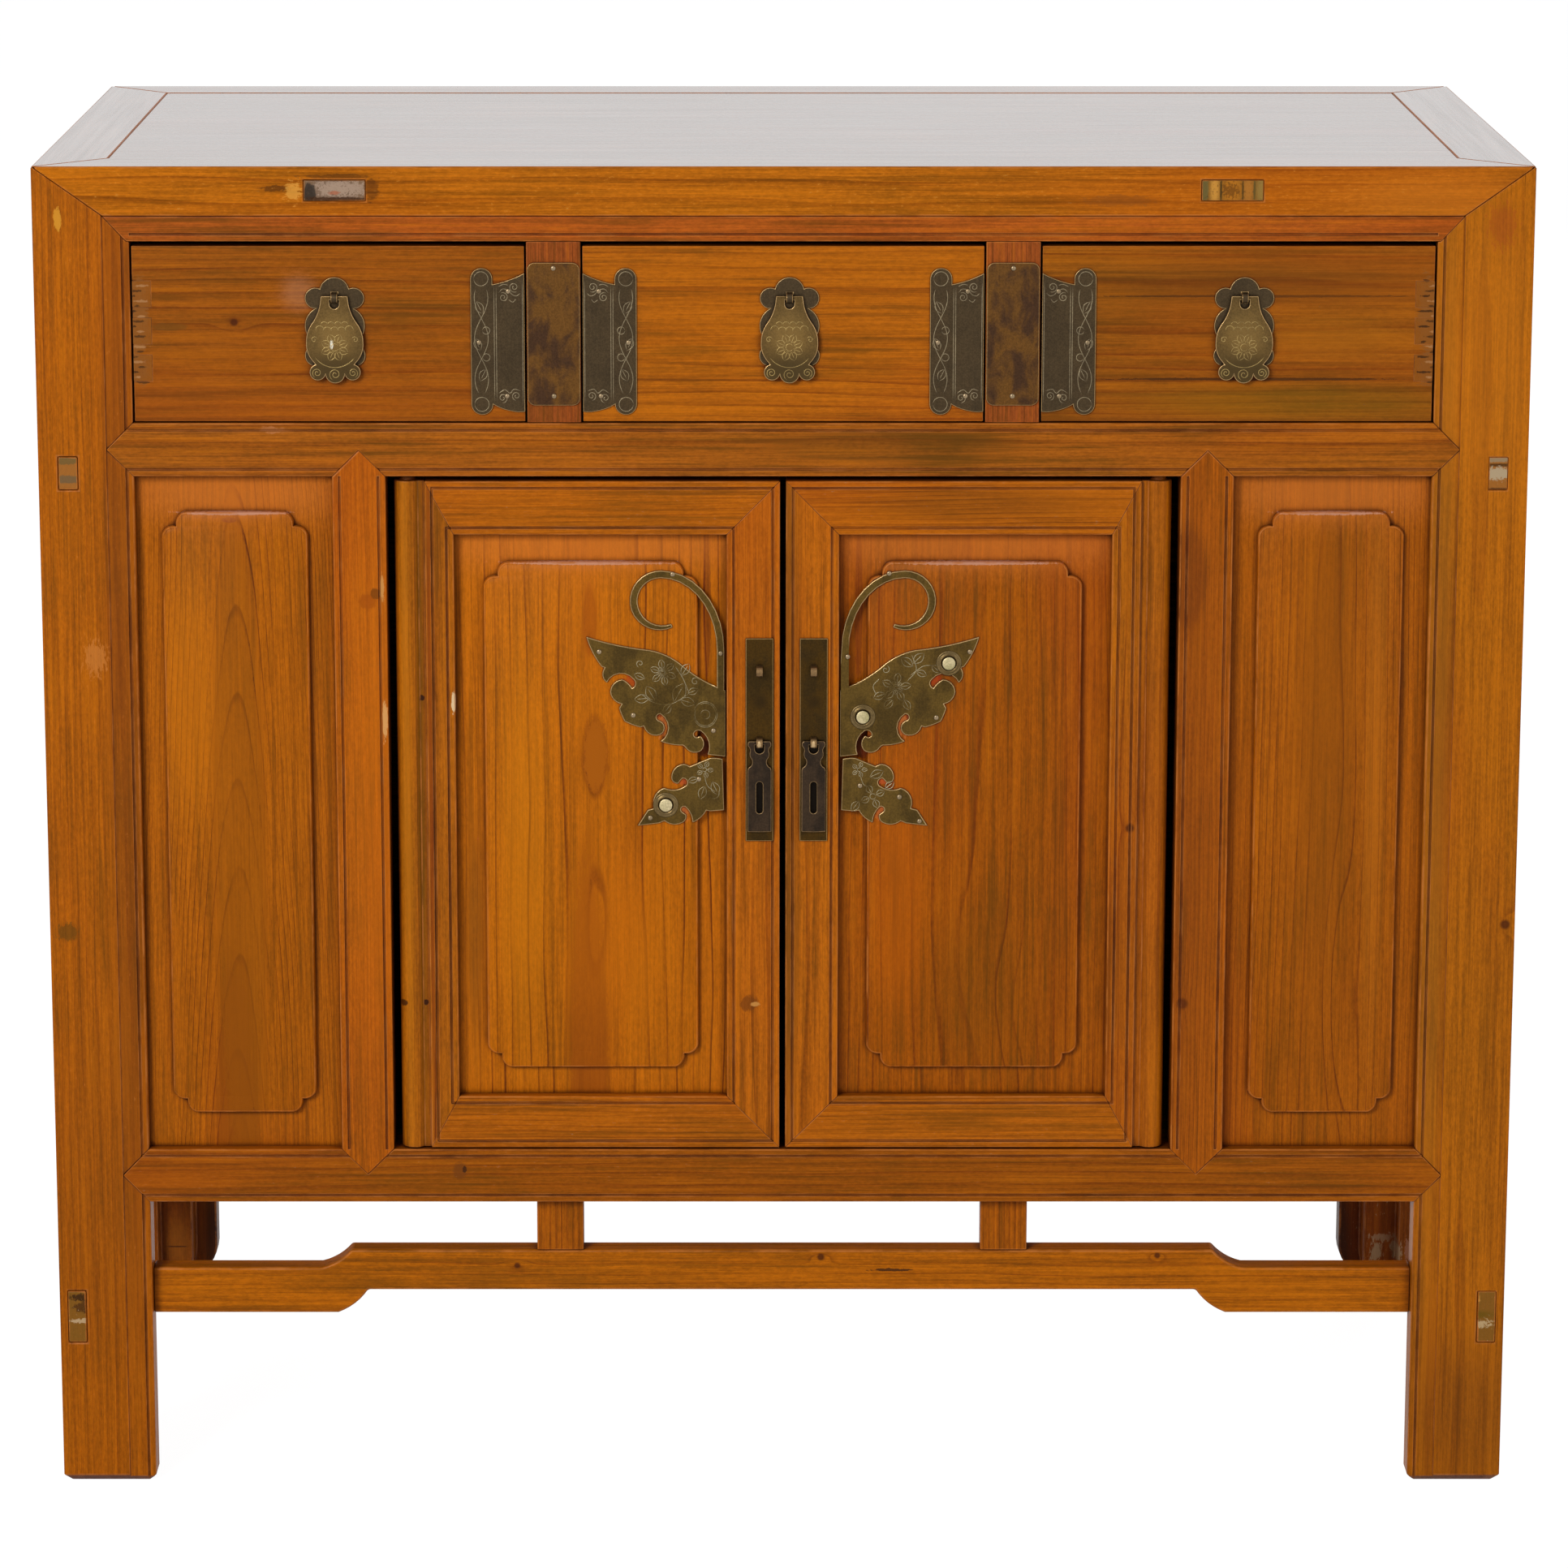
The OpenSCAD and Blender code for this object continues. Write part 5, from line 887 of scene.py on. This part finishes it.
for side in SIDES:
    body = f"door_{side}"
    fixings(f"{body}_butterfly", body, PLATE_FACE["wing"], [on_wing(side, p) for p in WING_LINES[side]],
            on_wing(side, WING_NAILS[side]), line_skin=FAINT)
    for name, profile, skin in (("washers", WASHER, RING), ("studs", HEAD, STEEL)):
        shell = Shell()
        for centre in on_wing(side, WING_STUDS[side]):
            turned(shell, centre, PLATE_FACE["wing"], profile, 32)
        link(f"{body}_butterfly_{name}", shell.mesh(name), body, skin)


def scroll_lines(edge, way):
    """Lines of a scroll plate: rings and a crossed vine on its roll, borders and curls on its flag."""
    v = np.linspace(14, 82, 60)
    swing = 4.4 * np.sin(np.pi * (v - 36.5) / 26.5)
    lines = [np.stack([27.9 + k * swing, v], -1) for k in (1, -1)]
    lines += [arc((27.9, z), 4.6, 0, 360, 24) for z in (88.6, 6.9)]
    lines += [np.stack([np.full(24, u), np.linspace(9, 84, 24)], -1) for u in (19.6, 18.2)]
    lines.append(np.stack([np.full(24, 1.3), np.linspace(7, 88, 24)], -1))
    lines += [arc((24.8, z), 2.4, 0, 360, 16) for z in (55.0, 37.5)]
    lines += leaves((31, 74, 27, 66), (25, 30, 29, 22), (32, 50, 28.5, 42))
    lines += [curl((6.6, 83.2), 3.4, 1.6, 90, -1), curl((13.6, 76.6), 3.2, 1.6, -90, -1),
              wave([(16.5, 79.5), (14, 82), (10, 81), (8, 78.5), (5, 77.5), (2.6, 79.5)]),
              wave([(16.8, 83.5), (13.5, 85), (10.5, 84.5)]), wave([(10, 75), (7.5, 73.5), (5.5, 75.5)])]
    lines += [curl((14.4, 11.0), 3.2, 1.5, 90, 1), curl((5.6, 12.4), 3.0, 1.5, 90, -1),
              wave([(17.2, 14), (13, 16.4), (9.8, 14.2), (7, 16.8), (2.8, 15.6)])]
    return [np.stack([edge + way * p[:, 0], SCROLL_FOOT + p[:, 1]], -1) for p in lines]


def drop_lines(x, z):
    """Lines of a drop: a flower on its belly, cloud scallops over it and curls in the lobes of its foot."""
    lines = bloom((0, -32), 9.3, 8, 22.5, core=0.26, swell=0.36)
    lines += [arc((k, -17.5), 2.2, 10, 170) for k in (-6.6, -2.2, 2.2, 6.6)]
    lines += [arc((k, -20.5), 2.6, 200, -20) for k in (-9.5, 9.5)]
    lines += [arc((k, -21.5), 2.8, 180, 0) for k in (-4.6, 0, 4.6)]
    lines += [curl((0, -49.6), 3.9, 1.7, 0, 1), curl((-11.6, -48.6), 3.2, 1.7, 0, 1),
        curl((11.6, -48.6), 3.2, 1.7, 180, -1)]
    lines += [curl((k * 13.2, -27), 2.2, 1.2, 90, k) for k in (-1, 1)]
    lines += [arc((0, -29.5), 15.6, 215, 325, 30)]
    return [p + (x, z) for p in lines]


SCROLLS = {"left": ((-166.7, -1),), "middle": ((-129.3, 1), (129.3, -1)), "right": ((166.7, 1),)}
PULLS = {"left": -289, "middle": 4, "right": 297}
for name in DRAWERS:
    lines, nails = [], []
    for edge, way in SCROLLS[name]:
        lines += scroll_lines(edge, way)
        nails += [(edge + way * u, SCROLL_FOOT + v) for u, v in ((29.5, 47.2), (10.5, 80.5), (11.6, 12.3))]
    fixings(f"drawer_{name}_scroll", f"drawer_{name}", PLATE_FACE["scroll"], lines, nails)
    fixings(f"drop_{name}", f"drop_{name}", PLATE_FACE["drop"], drop_lines(PULLS[name], DROP_EYE),
        line_skin=BRIGHT)
fixings("divider_plates", "case", PLATE_FACE["divider"],
    nails=[(k * 148, z) for k in (-1, 1) for z in (739.2, 822.4)])


# Studio


ROOM_LIGHT = 0.27  # strength of the white room as light on the cabinet
ROOM_PALE = 0.8  # how white the floor is, and the room in mirrors
FLOOR_GLOW, FLOOR_HALF = 1.21, 12.0
LAMPS = (("key", (-2.2, -3.9, 2.6), 1.5, 133), ("fill", (2.8, -3.4, 1.7), 2.8, 34),
         ("back", (1.6, 4.2, 3.2), 2.6, 100))  # place, width in m, watts
AIM = (0.0, 0.0, 0.45)
TOP_PIECES = ("top_panel", "top_rail_front", "top_rail_rear", "top_end_rails")


def studio():
    """A pale floor, a white room, two soft lamps in front and one behind, and the photograph's camera.

    Each lamp is doubled: the lacquered top gets its light without its mirror image, which would whiten
    the whole top in views from behind.
    """
    scene = bpy.context.scene
    room = Finish(bpy.data.worlds.new("room"))
    scene.world = room.owner
    camera_ray, seen = room.seen()
    strength = room.add("MapRange")
    level = room.fill(strength, seen, To_Min=ROOM_LIGHT)
    back = room.add("Background")
    room.fill(back, Strength=level)
    white = room.calc("MULTIPLY_ADD", camera_ray, 1.0 - ROOM_PALE, ROOM_PALE)
    room.feed(room.add("OutputWorld").inputs[0], room.fill(back, white))

    f = Finish(bpy.data.materials.new("pale_floor"))
    _, seen = f.seen()
    matt = f.fill(f.add("BsdfDiffuse"), (ROOM_PALE, ROOM_PALE, ROOM_PALE, 1))
    glow = f.fill(f.add("Emission"), (1, 1, 1, 1), FLOOR_GLOW)
    both = f.add("MixShader")
    f.feed(f.add("OutputMaterial").inputs[0], f.fill(both, f.times(seen, 0.8), matt, glow))
    mesh = bpy.data.meshes.new("floor")
    corners = [(x * FLOOR_HALF, y * FLOOR_HALF, 0) for x, y in ((-1, -1), (1, -1), (1, 1), (-1, 1))]
    mesh.from_pydata(corners, [], [(0, 1, 2, 3)])
    mesh.materials.append(f.owner)
    floor = bpy.data.objects.new("floor", mesh)
    scene.collection.objects.link(floor)

    for name, place, width, watts in LAMPS:
        aim = np.array(AIM) - np.array(place)
        for state in ("EXCLUDE", "INCLUDE"):
            lamp = bpy.data.lights.new(name, "AREA")
            lamp.size = width
            lamp.energy = watts
            holder = bpy.data.objects.new(name if state == "EXCLUDE" else name + "_on_top", lamp)
            scene.collection.objects.link(holder)
            holder.location = place
            holder.rotation_euler = (math.atan2(math.hypot(aim[0], aim[1]), -aim[2]), 0,
                                     math.atan2(aim[1], aim[0]) - math.pi / 2)
            holder.visible_glossy = state == "EXCLUDE"
            pieces = bpy.data.collections.new(holder.name + "_pieces")
            for node in TOP_PIECES:
                pieces.objects.link(bpy.data.objects[node + "_dressed"])
            for entry in pieces.collection_objects:
                entry.light_linking.link_state = state
            holder.light_linking.receiver_collection = pieces

    camera = bpy.data.cameras.new("camera")
    camera.lens = 131.56
    camera.sensor_width = 36
    camera.shift_x = 0.0249
    camera.shift_y = -0.07
    camera.clip_end = 60
    eye = bpy.data.objects.new("camera", camera)
    scene.collection.objects.link(eye)
    eye.location = (-0.0247, -3.8937, 1.3328)
    eye.rotation_euler = (math.radians(90 - 11.997), 0, 0)
    scene.camera = eye
    scene.view_settings.view_transform = "Standard"


studio()
bpy.context.view_layer.update()
